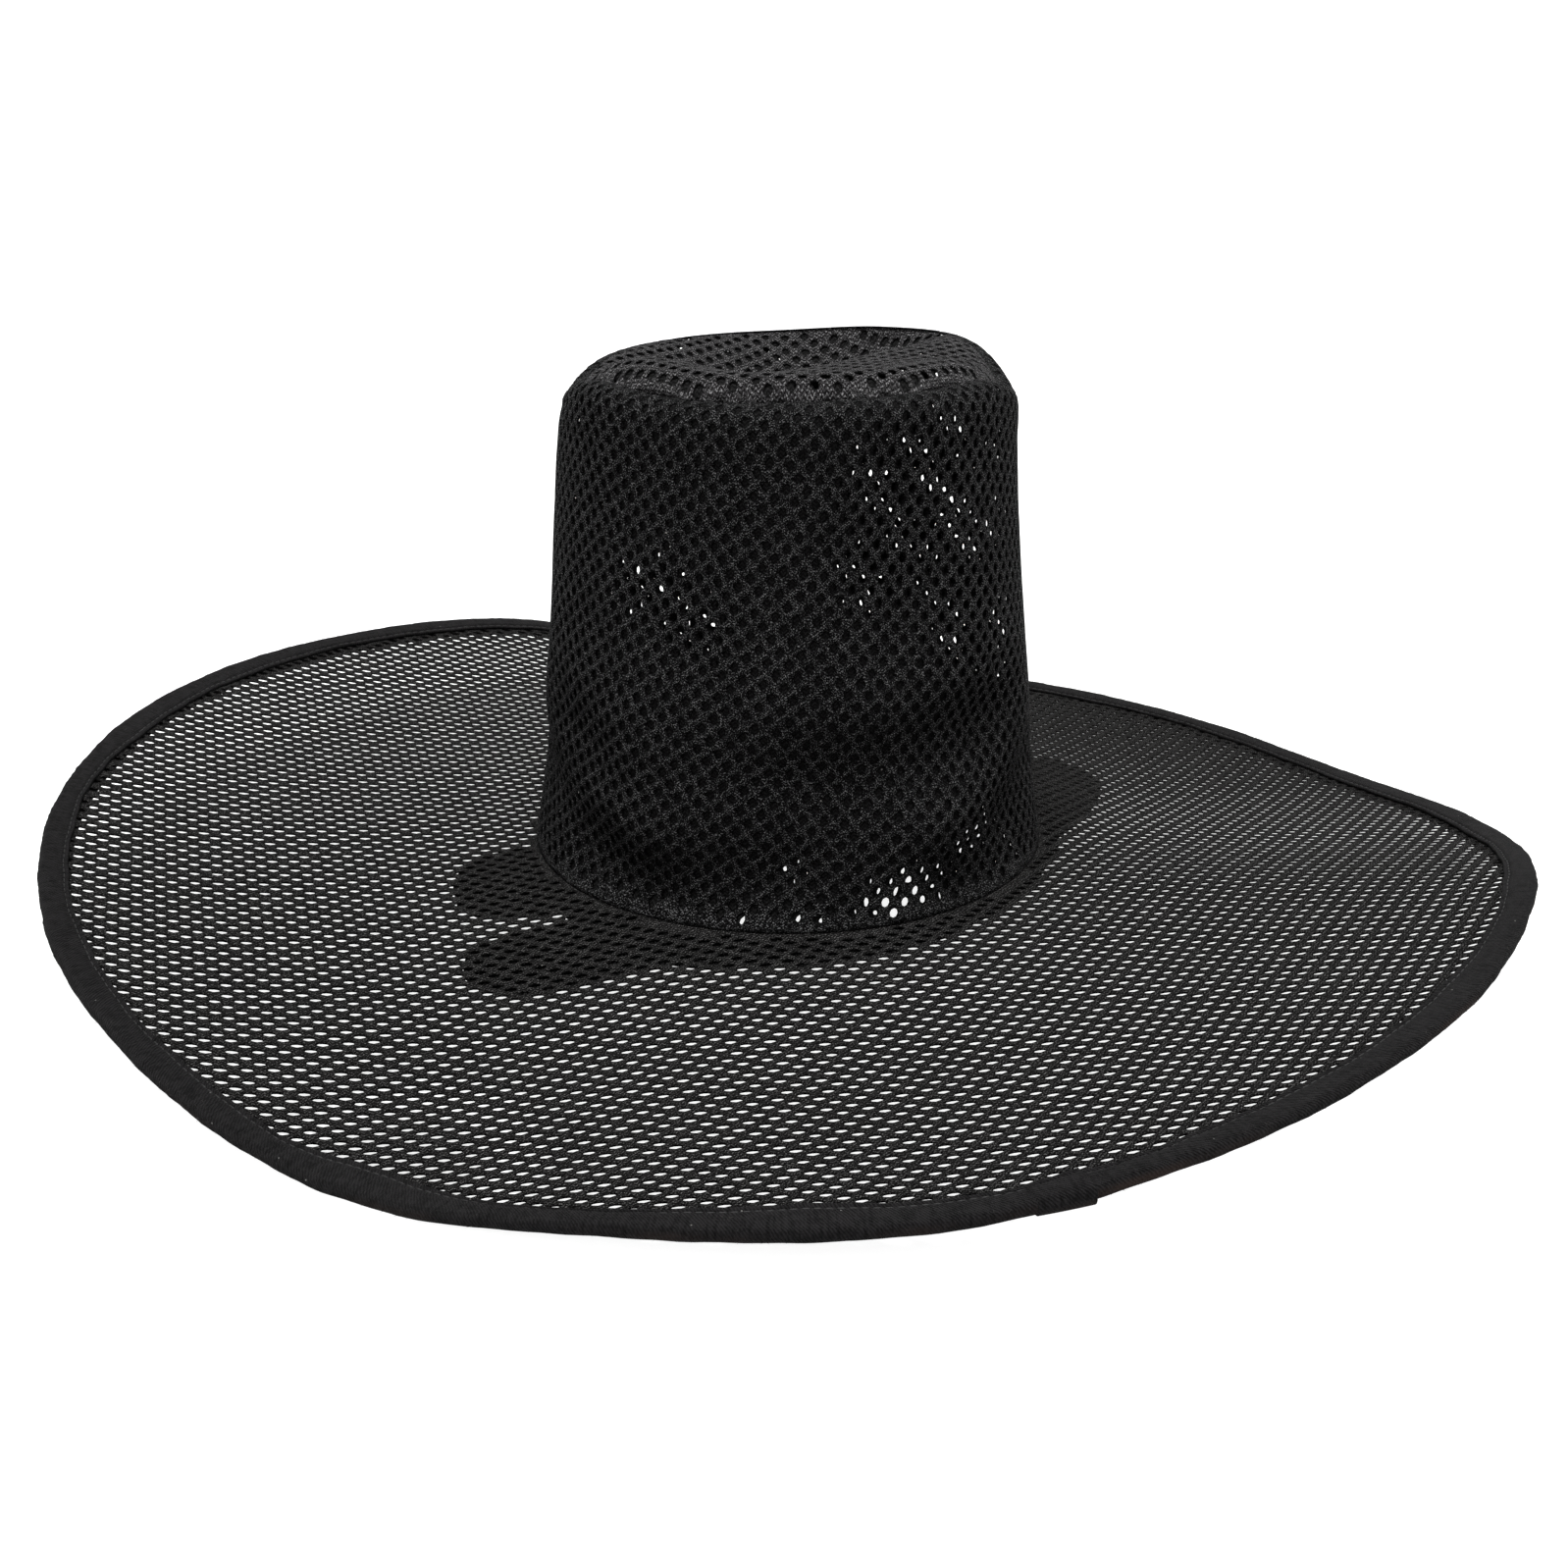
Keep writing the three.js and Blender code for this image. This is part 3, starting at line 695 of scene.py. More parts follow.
def tongue(name, first, second, rows=28, columns=16):
    """Straight lines between two edges, each edge straight from point to point, laid under the
    brim with a slight curl downwards that grows with the square of the way to the tip."""
    u = np.linspace(0, 1, rows)
    knots = np.linspace(0, 1, len(first))
    near, far = (
        np.stack([np.interp(u, knots, axis) for axis in zip(*edge)], -1) for edge in (first, second))
    v = np.linspace(0, 1, columns)[None, :, None]
    plan = near[:, None] * (1 - v) + far[:, None] * v
    x, y = plan[..., 0] - CROWN_X, plan[..., 1] - CROWN_Y
    azimuth, radius = np.degrees(np.arctan2(y, x)), np.hypot(x, y)
    curl = 0.5 * u[:, None] ** 2
    upper = on_axis(azimuth, radius, brim_z(azimuth, radius) + BAND_TOP - curl)
    lower = upper - np.array([0, 0, BAND_CLOTH])
    flat = np.stack([x, y, np.ones_like(x)], -1).reshape(-1, 3)
    points = np.concatenate([upper.reshape(-1, 3), lower.reshape(-1, 3)])
    make_piece(name, points, patch_quads(rows, columns), cloth=np.concatenate([flat, flat]))
    area = np.abs(np.cross(np.diff(plan, axis=0)[:, :-1], np.diff(plan, axis=1)[:-1])).sum()
    print(name, "flat area, m2:", round(float(area * MM ** 2), 5))


for name, edges in TONGUE_EDGES.items():
    tongue(name, *edges)

# %% [markdown]
# ## Bound edge
#
# A twill tape of black cotton is folded over the cut edge and sewn through with one line of
# stitches, which pulls a groove into it. In a few places its top flap was sewn on wider or
# narrower. Its cross-section is a loop of two lines, the outside and the inside of the fold. We
# carry it round the brim's edge in many small steps and let its width and fullness waver
# slightly, as a hand-fed tape does.

# %% Binding
TAPE = 1.1
TOP_FLAP, BOTTOM_FLAP = 7.7, 7.4
GROOVE_AT, GROOVE_WIDE, GROOVE_DEEP = 6.2, 0.6, 0.5
STRIP_DROP, STRIP_SOFT = 0.3, 0.3
TAPE_STEPS = 720
BOTTOM_ROWS, NOSE_ROWS, TOP_ROWS = 9, 13, 15
SQUARED_NOSE = 0.8
PUFF = 0.12
LUMP = 0.09
FLAP_WAVE = 1.5
# azimuth, turn, width: where the top flap is sewn on a little wider or narrower
WIDER_FLAP = np.array([[182, 8, -1.3], [241, 4.5, 3.4], [256, 8, -2.2], [272, 6, 3.8]])
LAP_AZIMUTH, LAP_LENGTH, LAP_STEPS = 286.6, 15.0, 13


def waver(azimuth, *waves):
    """A sum of sines round the edge, each given as a count of waves, a size and a phase."""
    total = np.zeros_like(azimuth)
    for count, size, phase in waves:
        total = total + size * np.sin(np.radians(azimuth * count) + phase)
    return total


def wider_flap(azimuth):
    """Added width of the top flap: the sum of its round hills."""
    return sum(
        width * bump(angle_between(azimuth, middle), turn) for middle, turn, width in WIDER_FLAP)


def fold_section(extra):
    """Inward distance and lift of the fold's outside and inside. The nose is half an oval with
    its sides a little flattened. On top the groove is a round hollow, and past it the tape's
    edge lies a step lower, the step being an S-curve."""
    inside = BRIM_CLOTH / 2 + 0.1
    outside = BRIM_CLOTH / 2 + SEAM_GAP + TAPE + extra
    nose = NOSE + extra
    angle = np.radians(np.linspace(-90, 90, NOSE_ROWS + 2)[1:-1])
    round_in = -nose * np.cos(angle) ** SQUARED_NOSE
    round_lift = outside * np.sign(np.sin(angle)) * np.abs(np.sin(angle)) ** SQUARED_NOSE
    bottom = np.linspace(BOTTOM_FLAP, 0, BOTTOM_ROWS)
    # two thirds of the top's rows lie at the groove
    top = np.concatenate([np.linspace(0, 5.0, 5), np.linspace(5.35, TOP_FLAP, TOP_ROWS - 5)])
    puff = outside + PUFF * np.sin(np.pi * top / GROOVE_AT).clip(0)
    strip = STRIP_DROP / (1 + np.exp((GROOVE_AT - top) / STRIP_SOFT))
    upper = puff - GROOVE_DEEP * bump(top - GROOVE_AT, GROOVE_WIDE) - strip
    outer_in = np.concatenate([bottom, round_in, top])
    outer_lift = np.concatenate([np.full(BOTTOM_ROWS, -outside), round_lift, upper])
    inner_in = np.clip(outer_in, -SEAM_GAP, None)
    inner_lift = np.clip(outer_lift, -inside, inside)
    return outer_in, outer_lift, inner_in, inner_lift


def fold_points(azimuth, inwards, lift, wobble):
    """Carries a section point to the edge. Past the cut edge the cloth's height is that of the
    edge, and nothing is lower than the surface that the hat lies on."""
    edge = edge_radius(azimuth)
    radius = edge - inwards + wobble
    z = brim_z(azimuth, np.minimum(radius, edge)) + lift
    return on_axis(azimuth, radius, np.maximum(z, 0))


def binding_loops(azimuth, extra, wobble, fullness):
    """Loops of the whole section at each azimuth, as steps by points by three, with the cloth
    coordinates: length along the edge, length round the section, and 1 on the outside."""
    outer_in, outer_lift, inner_in, inner_lift = fold_section(extra)
    turn = azimuth[:, None]
    wave = wobble[:, None]
    flap = np.clip(outer_in / TOP_FLAP, 0, 1) * (outer_lift > 0)
    wider = flap * (wave * FLAP_WAVE + wider_flap(turn))
    outside = fold_points(
        turn, outer_in + wider, outer_lift * fullness[:, None], wave * (1 - flap))
    inside = fold_points(turn, inner_in + wider, inner_lift, 0)
    step = np.hypot(np.diff(outer_in), np.diff(outer_lift))
    around_section = np.concatenate([[0], np.cumsum(step)])
    along = np.radians(azimuth) * EDGE_MEAN
    cloth = np.stack(np.broadcast_arrays(along[:, None], around_section[None], 1.0), -1)
    hidden = cloth * np.array([1, 1, 0])
    loops = np.concatenate([outside, inside[:, ::-1]], 1)
    return loops, np.concatenate([cloth, hidden[:, ::-1]], 1), around_section[-1]


def outward(azimuth):
    """A flat arrow of length one away from the crown's axis."""
    angle = np.radians(azimuth)
    return np.stack([np.cos(angle), np.sin(angle), 0 * angle], -1)


tape_azimuth = once_round(TAPE_STEPS)
tape_wobble = waver(tape_azimuth, (7, 0.2, 0.4), (19, 0.17, 2.1), (43, 0.13, 5.0), (101, 0.09, 1.3))
tape_full = 1 + waver(tape_azimuth, (11, 0.02, 1.0), (37, 0.02, 3.7), (89, 0.015, 0.2))
tape_loops, tape_cloth, tape_width = binding_loops(tape_azimuth, 0.0, tape_wobble, tape_full)
tape_lumps = np.random.default_rng(5).normal(0, 1, tape_loops.shape[:2]).clip(-2, 2)
tape_lumps = tape_lumps * (tape_cloth[..., 2] > 0) * (tape_loops[..., 2] > 0.3)
tape_loops = tape_loops + LUMP * tape_lumps[..., None] * (
    outward(tape_azimuth)[:, None] + np.array([0, 0, 0.5]))
make_piece(
    "binding", tape_loops.reshape(-1, 3), ring_quads(tape_loops), cloth=tape_cloth.reshape(-1, 3))


def open_strap(name, loops, cloth):
    """A strap of loops that isn't closed, with both ends shut by quads between the outer line
    and the inner line."""
    steps, count = loops.shape[:2]
    sides = grid_quads(np.arange(steps * count).reshape(steps, count), close_columns=True)
    j = np.arange(count // 2 - 1)
    end = faces(j, j + 1, count - 2 - j, count - 1 - j)
    quads = np.concatenate([sides, end, end[:, ::-1] + (steps - 1) * count])
    make_piece(name, loops.reshape(-1, 3), quads, cloth=cloth.reshape(-1, 3))


lap_half = np.degrees(LAP_LENGTH / 2 / edge_radius(LAP_AZIMUTH))
lap_azimuth = LAP_AZIMUTH + lap_half * np.linspace(-1, 1, LAP_STEPS)
# the lap grows fuller and steps further out towards its free end
lap_loops, lap_cloth, _ = binding_loops(
    lap_azimuth, TAPE * 0.85, np.linspace(-0.55, 0.25, LAP_STEPS), np.linspace(0.86, 1.04, LAP_STEPS))
open_strap("lap", lap_loops, lap_cloth)
print("tape, mm:", round(float(tape_width), 1), "wide")

# %% [markdown]
# ## Stitches and fuzz
#
# A stitch is a short spindle of thread lying in the groove. Cotton sheds fibres, so fifteen
# hundred fine bent needles stand off the tape. Both are one small shape repeated many times: the
# whole set is one array with a row for each copy, so every copy costs only a few faces.

# %% Stitches
STITCH_PITCH, STITCH_LONG, STITCH_HALF = 3.1, 2.3, 0.24
STITCH_LINE = 240
THREAD_SINK = 0.02
SPINDLE_ALONG = np.array([-0.5, -0.28, 0.28, 0.5])
SPINDLE_FULL = np.array([0.35, 1.0, 1.0, 0.35])


def unit(rows):
    """Rows of three scaled to length one."""
    return rows / np.linalg.norm(rows, axis=1)[:, None]


def cross_ring(turns, side, up):
    """Points of a ring of radius one, at some turns in the plane of each copy's side and up."""
    angle = np.radians(turns)[:, None]
    return np.cos(angle) * side[:, None] + np.sin(angle) * up[:, None]


def spindles(name, middle, along, side, up):
    """Copies of a stitch: four square rings along its length, wider in the middle. Each copy
    has its own middle and three directions."""
    ring = SPINDLE_FULL[:, None, None] * STITCH_HALF * cross_ring([45, 135, 225, 315], side, up)[:, None]
    line = SPINDLE_ALONG[:, None] * STITCH_LONG * along[:, None]
    points = middle[:, None, None] + line[:, :, None] + ring
    grid = np.arange(len(middle) * 16).reshape(-1, 4, 4)
    here, there = grid[:, :-1], grid[:, 1:]
    sides = faces(here, np.roll(here, -1, 2), np.roll(there, -1, 2), there)
    ends = np.concatenate([grid[:, 0, ::-1], grid[:, -1]])
    make_piece(name, points.reshape(-1, 3), np.concatenate([sides, ends]))


def groove_point(azimuth, wave):
    """The floor of the groove at a turn."""
    wider = wave * FLAP_WAVE + wider_flap(azimuth)
    return fold_points(azimuth, GROOVE_AT + wider * GROOVE_AT / TOP_FLAP, groove_lift, 0)


stitch_count = round(2 * np.pi * STITCH_LINE / STITCH_PITCH)
stitch_azimuth = once_round(stitch_count)
stitch_wave = np.interp(stitch_azimuth, tape_azimuth, tape_wobble)
outer_in, outer_lift, _, _ = fold_section(0.0)
groove_row = int(np.argmin(np.abs(outer_in[-TOP_ROWS:] - GROOVE_AT))) - TOP_ROWS
groove_lift = outer_lift[groove_row] - THREAD_SINK
stitch_middle = groove_point(stitch_azimuth, stitch_wave)
stitch_ahead = unit(groove_point(stitch_azimuth + 0.2, stitch_wave) - stitch_middle)
stitch_up = np.tile([0.0, 0.0, 1.0], (stitch_count, 1))
spindles(
    "binding_stitches", stitch_middle, stitch_ahead, np.cross(stitch_ahead, stitch_up), stitch_up)

# %% Fuzz
FIBRES, FIBRE_HALF = 1500, 0.045
FIRST_ROW, ROWS = BOTTOM_ROWS, NOSE_ROWS + 7
dice = np.random.default_rng(11)
fibre_azimuth = dice.uniform(0, 360, FIBRES)
fibre_row = dice.choice(np.arange(FIRST_ROW, FIRST_ROW + ROWS), FIBRES)
fibre_wave = np.interp(fibre_azimuth, tape_azimuth, tape_wobble)
fibre_full = np.interp(fibre_azimuth, tape_azimuth, tape_full)
fibre_root = fold_points(
    fibre_azimuth, outer_in[fibre_row], outer_lift[fibre_row] * fibre_full,
    fibre_wave * (outer_in[fibre_row] <= 0))
fibre_way = outward(fibre_azimuth) * dice.uniform(0.0, 1.0, (FIBRES, 1))
fibre_way = fibre_way + dice.normal(0, 0.55, (FIBRES, 3))
fibre_way[:, 2] = np.abs(fibre_way[:, 2]) * 0.7
fibre_way = unit(fibre_way)
fibre_bend = dice.normal(0, 0.35, (FIBRES, 3))
fibre_length = dice.uniform(0.5, 1.5, (FIBRES, 1))
fibre_side = unit(np.cross(fibre_way, [0.3, 0.5, 0.81]))
fibre_ring = FIBRE_HALF * cross_ring([90, 210, 330], fibre_side, np.cross(fibre_way, fibre_side))
# no fibre reaches the surface that the hat stands on
fibre_root[:, 2] = np.maximum(fibre_root[:, 2], 0.2)
fibre_base = (fibre_root - 0.1 * fibre_way)[:, None] + fibre_ring
fibre_knee = fibre_root + 0.5 * fibre_length * fibre_way
fibre_end = fibre_knee + 0.5 * fibre_length * (fibre_way + fibre_bend)
fibre_end[:, 2] = np.maximum(fibre_end[:, 2], 0.1)
fibre_points = np.concatenate([
    fibre_base, fibre_knee[:, None] + fibre_ring * 0.8, fibre_end[:, None]], 1)
fibre_grid = np.arange(FIBRES * 7).reshape(FIBRES, 7)
low, mid, top = fibre_grid[:, 0:3], fibre_grid[:, 3:6], fibre_grid[:, 6:7].repeat(3, 1)
fibre_quads = faces(low, np.roll(low, -1, 1), np.roll(mid, -1, 1), mid)
fibre_tips = faces(mid, np.roll(mid, -1, 1), top)
make_piece(
    "binding_fuzz", fibre_points.reshape(-1, 3), fibre_quads,
    np.concatenate([fibre_tips, low[:, ::-1]]))

# %% [markdown]
# ## Node helpers
#
# A finish is a small network of nodes. An effect that several finishes share becomes a group
# with named inputs and outputs. These helpers add a node, join it up and set its plain values,
# so that each finish below reads as a list of what it is made of.

# %% Node helpers
class Nodes:
    """A tree of nodes, with a short way to add each kind that the finishes use."""

    def __init__(self, tree):
        self.tree = tree

    def feed(self, socket, value):
        """Links a socket to another, or sets its plain value."""
        if isinstance(value, bpy.types.NodeSocket):
            self.tree.links.new(value, socket)
        else:
            socket.default_value = value

    def add(self, kind, settings=None, **sockets):
        """Outputs of a new node with its settings, its inputs fed by name, _ for a space."""
        node = self.tree.nodes.new("ShaderNode" + kind)
        for label, value in (settings or {}).items():
            setattr(node, label, value)
        for label, value in sockets.items():
            self.feed(node.inputs[label.replace("_", " ")], value)
        return node.outputs

    def maths(self, operation, first, *others):
        """A chain of Math nodes: the first value with the next, the outcome with the one after."""
        for other in others or [0.0]:
            node = self.tree.nodes.new("ShaderNodeMath")
            node.operation = operation
            self.feed(node.inputs[0], first)
            self.feed(node.inputs[1], other)
            first = node.outputs[0]
        return first

    def noise(self, place, scale, detail, roughness=0.5):
        """Noise from 0 to 1."""
        return self.add(
            "TexNoise", Vector=place, Scale=scale, Detail=detail, Roughness=roughness)["Fac"]

    def ramp(self, value, low, high, start=0.0, end=1.0):
        """Maps a value from low..high to start..end, smoothly and no further."""
        return self.add(
            "MapRange", {"interpolation_type": "SMOOTHSTEP"}, Value=value, From_Min=low,
            From_Max=high, To_Min=start, To_Max=end)["Result"]

    def blend(self, share, first, second):
        """A mix of two colours."""
        node = self.tree.nodes.new("ShaderNodeMix")
        node.data_type = "RGBA"
        for place, value in ((0, share), (6, first), (7, second)):
            self.feed(node.inputs[place], value)
        return node.outputs[2]

    def bump(self, height, depth):
        """A normal that a height pushes out by up to depth, in metres."""
        return self.add("Bump", Height=height, Distance=depth)["Normal"]


def new_group(name, inputs, outputs):
    """An empty shader group: its nodes, the sockets it is fed by and those it feeds. inputs has
    each one's usual number, or None where it is a vector."""
    tree = bpy.data.node_groups.new(name, "ShaderNodeTree")
    for label, value in inputs.items():
        kind = "NodeSocketVector" if value is None else "NodeSocketFloat"
        socket = tree.interface.new_socket(name=label, in_out="INPUT", socket_type=kind)
        if value is not None:
            socket.default_value = value
    for label in outputs:
        tree.interface.new_socket(name=label, in_out="OUTPUT", socket_type="NodeSocketFloat")
    sources, results = tree.nodes.new("NodeGroupInput"), tree.nodes.new("NodeGroupOutput")
    return Nodes(tree), sources.outputs, results.inputs


def colour(*parts):
    """A colour from its red, green and blue, or from one number for a grey."""
    return (*parts, 1) if len(parts) == 3 else (*parts * 3, 1)


# %% [markdown]
# ## Knitted yarn
#
# Close up, the bars between the holes are columns of small V-shaped stitches of shiny
# filament yarn. The group draws them in cloth coordinates: a zigzag across each column moves a
# row of ridges up and down, which makes the V. Fine noise breaks the ridges into filaments,
# and a second noise picks small points that the finishes make smoother and paint paler, which
# is a painted highlight.

# %% Knit group
knit, knit_in, knit_out = new_group(
    "knitted_yarn", {"Cloth": None, "Column": 1.75, "Stitch": 1.3, "Glint": 0.5},
    ["Height", "Ridge", "Glint", "Patch"])
knit_at = knit_in["Cloth"]
knit_parts = knit.add("SeparateXYZ", Vector=knit_at)
shake = knit.maths("MULTIPLY", knit.maths("SUBTRACT", knit.noise(knit_at, 0.35, 2.0), 0.5), 0.7)
column = knit.maths("DIVIDE", knit.maths("ADD", knit_parts["X"], shake), knit_in["Column"])
rows = knit.maths("DIVIDE", knit.maths("ADD", knit_parts["Y"], shake), knit_in["Stitch"])
zigzag = knit.maths("MULTIPLY", knit.maths("PINGPONG", column, 0.5), 1.5)
vee = knit.maths("MULTIPLY", knit.maths("ADD", rows, zigzag), math.pi)
ridge = knit.maths("ABSOLUTE", knit.maths("SINE", vee))
filaments = knit.maths("MULTIPLY", knit.noise(knit_at, 2.6, 3.0, 0.7), 0.6)
# painted highlight: small points that the finishes paint paler, and make smoother
painted_glint_spots = knit.ramp(knit.noise(knit_at, 2.4, 1.0, 0.8), 0.54, 0.64)
knit.feed(knit_out["Height"], knit.maths("ADD", knit.maths("MULTIPLY", ridge, 0.7), filaments))
# painted shade: the finishes paint the hollows between the ridges darker than the ridges
knit.feed(knit_out["Ridge"], knit.maths("POWER", ridge, 2.0))
knit.feed(knit_out["Glint"], knit.maths("MULTIPLY", painted_glint_spots, ridge, knit_in["Glint"]))
knit.feed(knit_out["Patch"], knit.noise(knit_at, 0.045, 3.0))
print("knit group nodes:", len(knit.tree.nodes))

# %% [markdown]
# ## Dust and lint
#
# Black cloth shows every speck. This group scatters a few pale dots and a faint brown bloom,
# measured in object coordinates so that they lie on the hat as they fell.

# %% Dust group
dust, dust_in, dust_out = new_group(
    "dust_and_lint", {"Place": None, "Spread": 260.0, "Size": 0.09}, ["Specks", "Bloom"])
cells = dust.add("TexVoronoi", Vector=dust_in["Place"], Scale=dust_in["Spread"])
speck = dust.maths("LESS_THAN", cells["Distance"], dust_in["Size"])
pick = dust.add("SeparateColor", Color=cells["Color"])["Red"]
dust.feed(dust_out["Specks"], dust.maths(
    "MULTIPLY", speck, dust.maths("GREATER_THAN", pick, 0.8)))
dust.feed(dust_out["Bloom"], dust.ramp(dust.noise(dust_in["Place"], 24.0, 4.0), 0.45, 0.75))

# %% [markdown]
# ## Net finishes
#
# One recipe makes the net of crown, tip and brim, and each place gets its own values: the tip
# and the brim get lighter yarn than the crown's wall, painted light on the same net. The yarn is
# near black. Its ridges are painted a little lighter than the hollows between, which is painted
# shade, the rim of a hole is painted darkest, which is painted shade too, and glints are small
# points that are smoother and also painted paler, which is a painted highlight.

# %% Net materials
# painted shade: the near black that the rims of the holes are painted towards
RIM_SHADE_BLACK = colour(0.0002)


def start_material(name, roughness=0.5):
    """A material with its nodes and its shader's inputs."""
    material = bpy.data.materials.new(name)
    material.use_nodes = True
    inputs = material.node_tree.nodes["Principled BSDF"].inputs
    inputs["Roughness"].default_value = roughness
    return material, Nodes(material.node_tree), inputs


def net_material(
        name, hollow, yarn, painted_highlight, roughness, painted_glint, depth, rim=0.2, gloss=0.02, column=1.75,
        stitch=1.3):
    """Knitted yarn in three tones with a bump of its stitches. The hollows and the rims of the
    holes get painted shade, and the glinting points a painted highlight.
    """
    material, net, shader = start_material(name)
    cloth = net.add("Attribute", {"attribute_name": "cloth"})["Vector"]
    across = net.add("SeparateXYZ", Vector=cloth)["Z"]
    yarns = net.add(
        "Group", {"node_tree": knit.tree}, Cloth=cloth, Column=column, Stitch=stitch, Glint=painted_glint)
    place = net.add("TexCoord")["Object"]
    specks = net.add("Group", {"node_tree": dust.tree}, Place=place, Spread=150.0, Size=0.05)
    patch = net.ramp(yarns["Patch"], 0.3, 0.7, 0.88, 1.12)
    # painted shade: darker yarn in the hollows between the stitch ridges
    tone = net.blend(net.maths("MULTIPLY", yarns["Ridge"], patch), hollow, yarn)
    # painted highlight: the glinting points are painted paler, towards the highlight colour
    tone = net.blend(yarns["Glint"], tone, painted_highlight)
    # painted shade: towards the rim of each hole the tone is painted down to near black
    tone = net.blend(net.ramp(across, 0.0, 0.8, rim, 1.0), RIM_SHADE_BLACK, tone)
    tone = net.blend(specks["Specks"], tone, colour(0.16, 0.155, 0.15))
    net.feed(shader["Base Color"], tone)
    net.feed(shader["Roughness"], net.ramp(yarns["Glint"], 0.0, 0.5, roughness, roughness - 0.25))
    net.feed(shader["Normal"], net.bump(yarns["Height"], depth))
    net.feed(shader["Specular IOR Level"], gloss)
    return material


# painted light: one net, but the tip and the brim get lighter yarn than the crown's wall
crown_finish = net_material(
    "crown_yarn", colour(0.0023, 0.0023, 0.0024), colour(0.0046, 0.0046, 0.0047),
    colour(0.165, 0.165, 0.167), 0.6, 1.0, 0.0007, column=1.3, stitch=0.9)
# painted light: the lining is the same net as the wall, with lighter yarn so that the holes look less
# dark
lining_finish = net_material(
    "lining_yarn", colour(0.004), colour(0.009), colour(0.03), 0.85, 0.5, 0.0004, 0.6)
tip_finish = net_material(
    "tip_yarn", colour(0.008, 0.0077, 0.008), colour(0.03, 0.029, 0.03),
    colour(0.26, 0.256, 0.26), 0.62, 1.0, 0.0011, gloss=0.04)
brim_finish = net_material(
    "brim_yarn", colour(0.0055, 0.0054, 0.0053), colour(0.0145, 0.0142, 0.0140),
    colour(0.12, 0.118, 0.116), 0.62, 1.0, 0.0011, rim=0.0, gloss=0.006)
band_finish = net_material(
    "band_cloth", colour(0.004), colour(0.024), colour(0.12), 0.8, 0.8, 0.0008, rim=1.0)

# %% [markdown]
# ## Tape finish
#
# The tape is a soft cotton twill: slanting ribs a millimetre apart over a fine plain weave. It
# is matt with a soft sheen, carries lint, and is worn a little brown where it is handled, at
# the outer turn of the fold. Its thread and its lint are plainer: one noise and two colours.

# %% Twill group
twill, twill_in, twill_out = new_group(
    "cotton_twill", {"Cloth": None, "Rib": 1.05}, ["Height", "Rib"])
twill_at = twill_in["Cloth"]
twill_parts = twill.add("SeparateXYZ", Vector=twill_at)
slant = twill.maths("ADD", twill_parts["X"], twill.maths("MULTIPLY", twill_parts["Y"], 0.8))
slant = twill.maths("ADD", slant, twill.maths("MULTIPLY", twill.noise(twill_at, 0.5, 3.0), 1.2))
slant = twill.maths("MULTIPLY", twill.maths("DIVIDE", slant, twill_in["Rib"]), 2 * math.pi)
rib = twill.ramp(twill.maths("SINE", slant), -1.0, 1.0)
nap = twill.maths("MULTIPLY", twill.noise(twill_at, 3.2, 4.0, 0.7), 0.9)
twill.feed(twill_out["Height"], twill.maths("ADD", twill.maths("MULTIPLY", rib, 0.6), nap))
twill.feed(twill_out["Rib"], rib)

# %% Tape material
tape_finish, tape, tape_shader = start_material("cotton_tape")
tape_at = tape.add("Attribute", {"attribute_name": "cloth"})["Vector"]
tape_place = tape.add("TexCoord")["Object"]
tape_weave = tape.add("Group", {"node_tree": twill.tree}, Cloth=tape_at)
tape_dust = tape.add(
    "Group", {"node_tree": dust.tree}, Place=tape_place, Spread=240.0, Size=0.06)
tape_round = tape.add("SeparateXYZ", Vector=tape_at)["Y"]
worn = tape.maths(
    "MULTIPLY", tape.ramp(tape_round, 7.8, 9.2), tape.ramp(tape_round, 13.0, 10.8),
    tape_dust["Bloom"])
streaks = tape.noise(
    tape.add("Mapping", Vector=tape_at, Scale=(0.9, 0.16, 1.0))["Vector"], 1.0, 4.0, 0.65)
mottle = tape.noise(
    tape.add("Mapping", Vector=tape_at, Scale=(0.14, 0.55, 1.0))["Vector"], 1.0, 5.0, 0.75)
# painted shade: the tone is painted darker between the twill's ribs than on them
tape_tone = tape.maths(
    "MULTIPLY", tape.ramp(streaks, 0.32, 0.68, 0.25, 1.6),
    tape.ramp(tape_weave["Rib"], 0.0, 1.0, 0.45, 1.0), tape.ramp(mottle, 0.35, 0.65, 0.55, 1.45))
tape_colour = tape.blend(tape_tone, colour(0.0011), colour(0.0125, 0.0118, 0.0123))
tape_colour = tape.blend(worn, tape_colour, colour(0.026, 0.018, 0.0155))
tape_colour = tape.blend(tape_dust["Specks"], tape_colour, colour(0.16, 0.157, 0.15))
tape_height = tape.maths("ADD", tape_weave["Height"], tape.maths("MULTIPLY", streaks, 1.5))
for label, value in {
        "Base Color": tape_colour, "Normal": tape.bump(tape_height, 0.0006),
        "Roughness": tape.ramp(tape_weave["Rib"], 0.0, 1.0, 0.95, 0.86),
        "Specular IOR Level": 0.06, "Sheen Weight": 0.02, "Sheen Roughness": 0.4}.items():
    tape.feed(tape_shader[label], value)

# %% Thread and lint materials
thread_finish, thread, thread_shader = start_material("thread", roughness=0.6)
strands = thread.noise(thread.add("TexCoord")["Object"], 2600.0, 2.0)
thread.feed(thread_shader["Base Color"], thread.blend(
    strands, colour(0.001), colour(0.007, 0.0068, 0.0068)))
thread.feed(thread_shader["Normal"], thread.bump(strands, 0.0001))

lint_finish, lint, lint_shader = start_material("lint", roughness=0.9)
lint_pale = lint.ramp(lint.noise(lint.add("TexCoord")["Object"], 60.0, 3.0), 0.5, 0.75)
lint.feed(lint_shader["Base Color"], lint.blend(
    lint_pale, colour(0.012, 0.011, 0.0105), colour(0.09, 0.083, 0.077)))
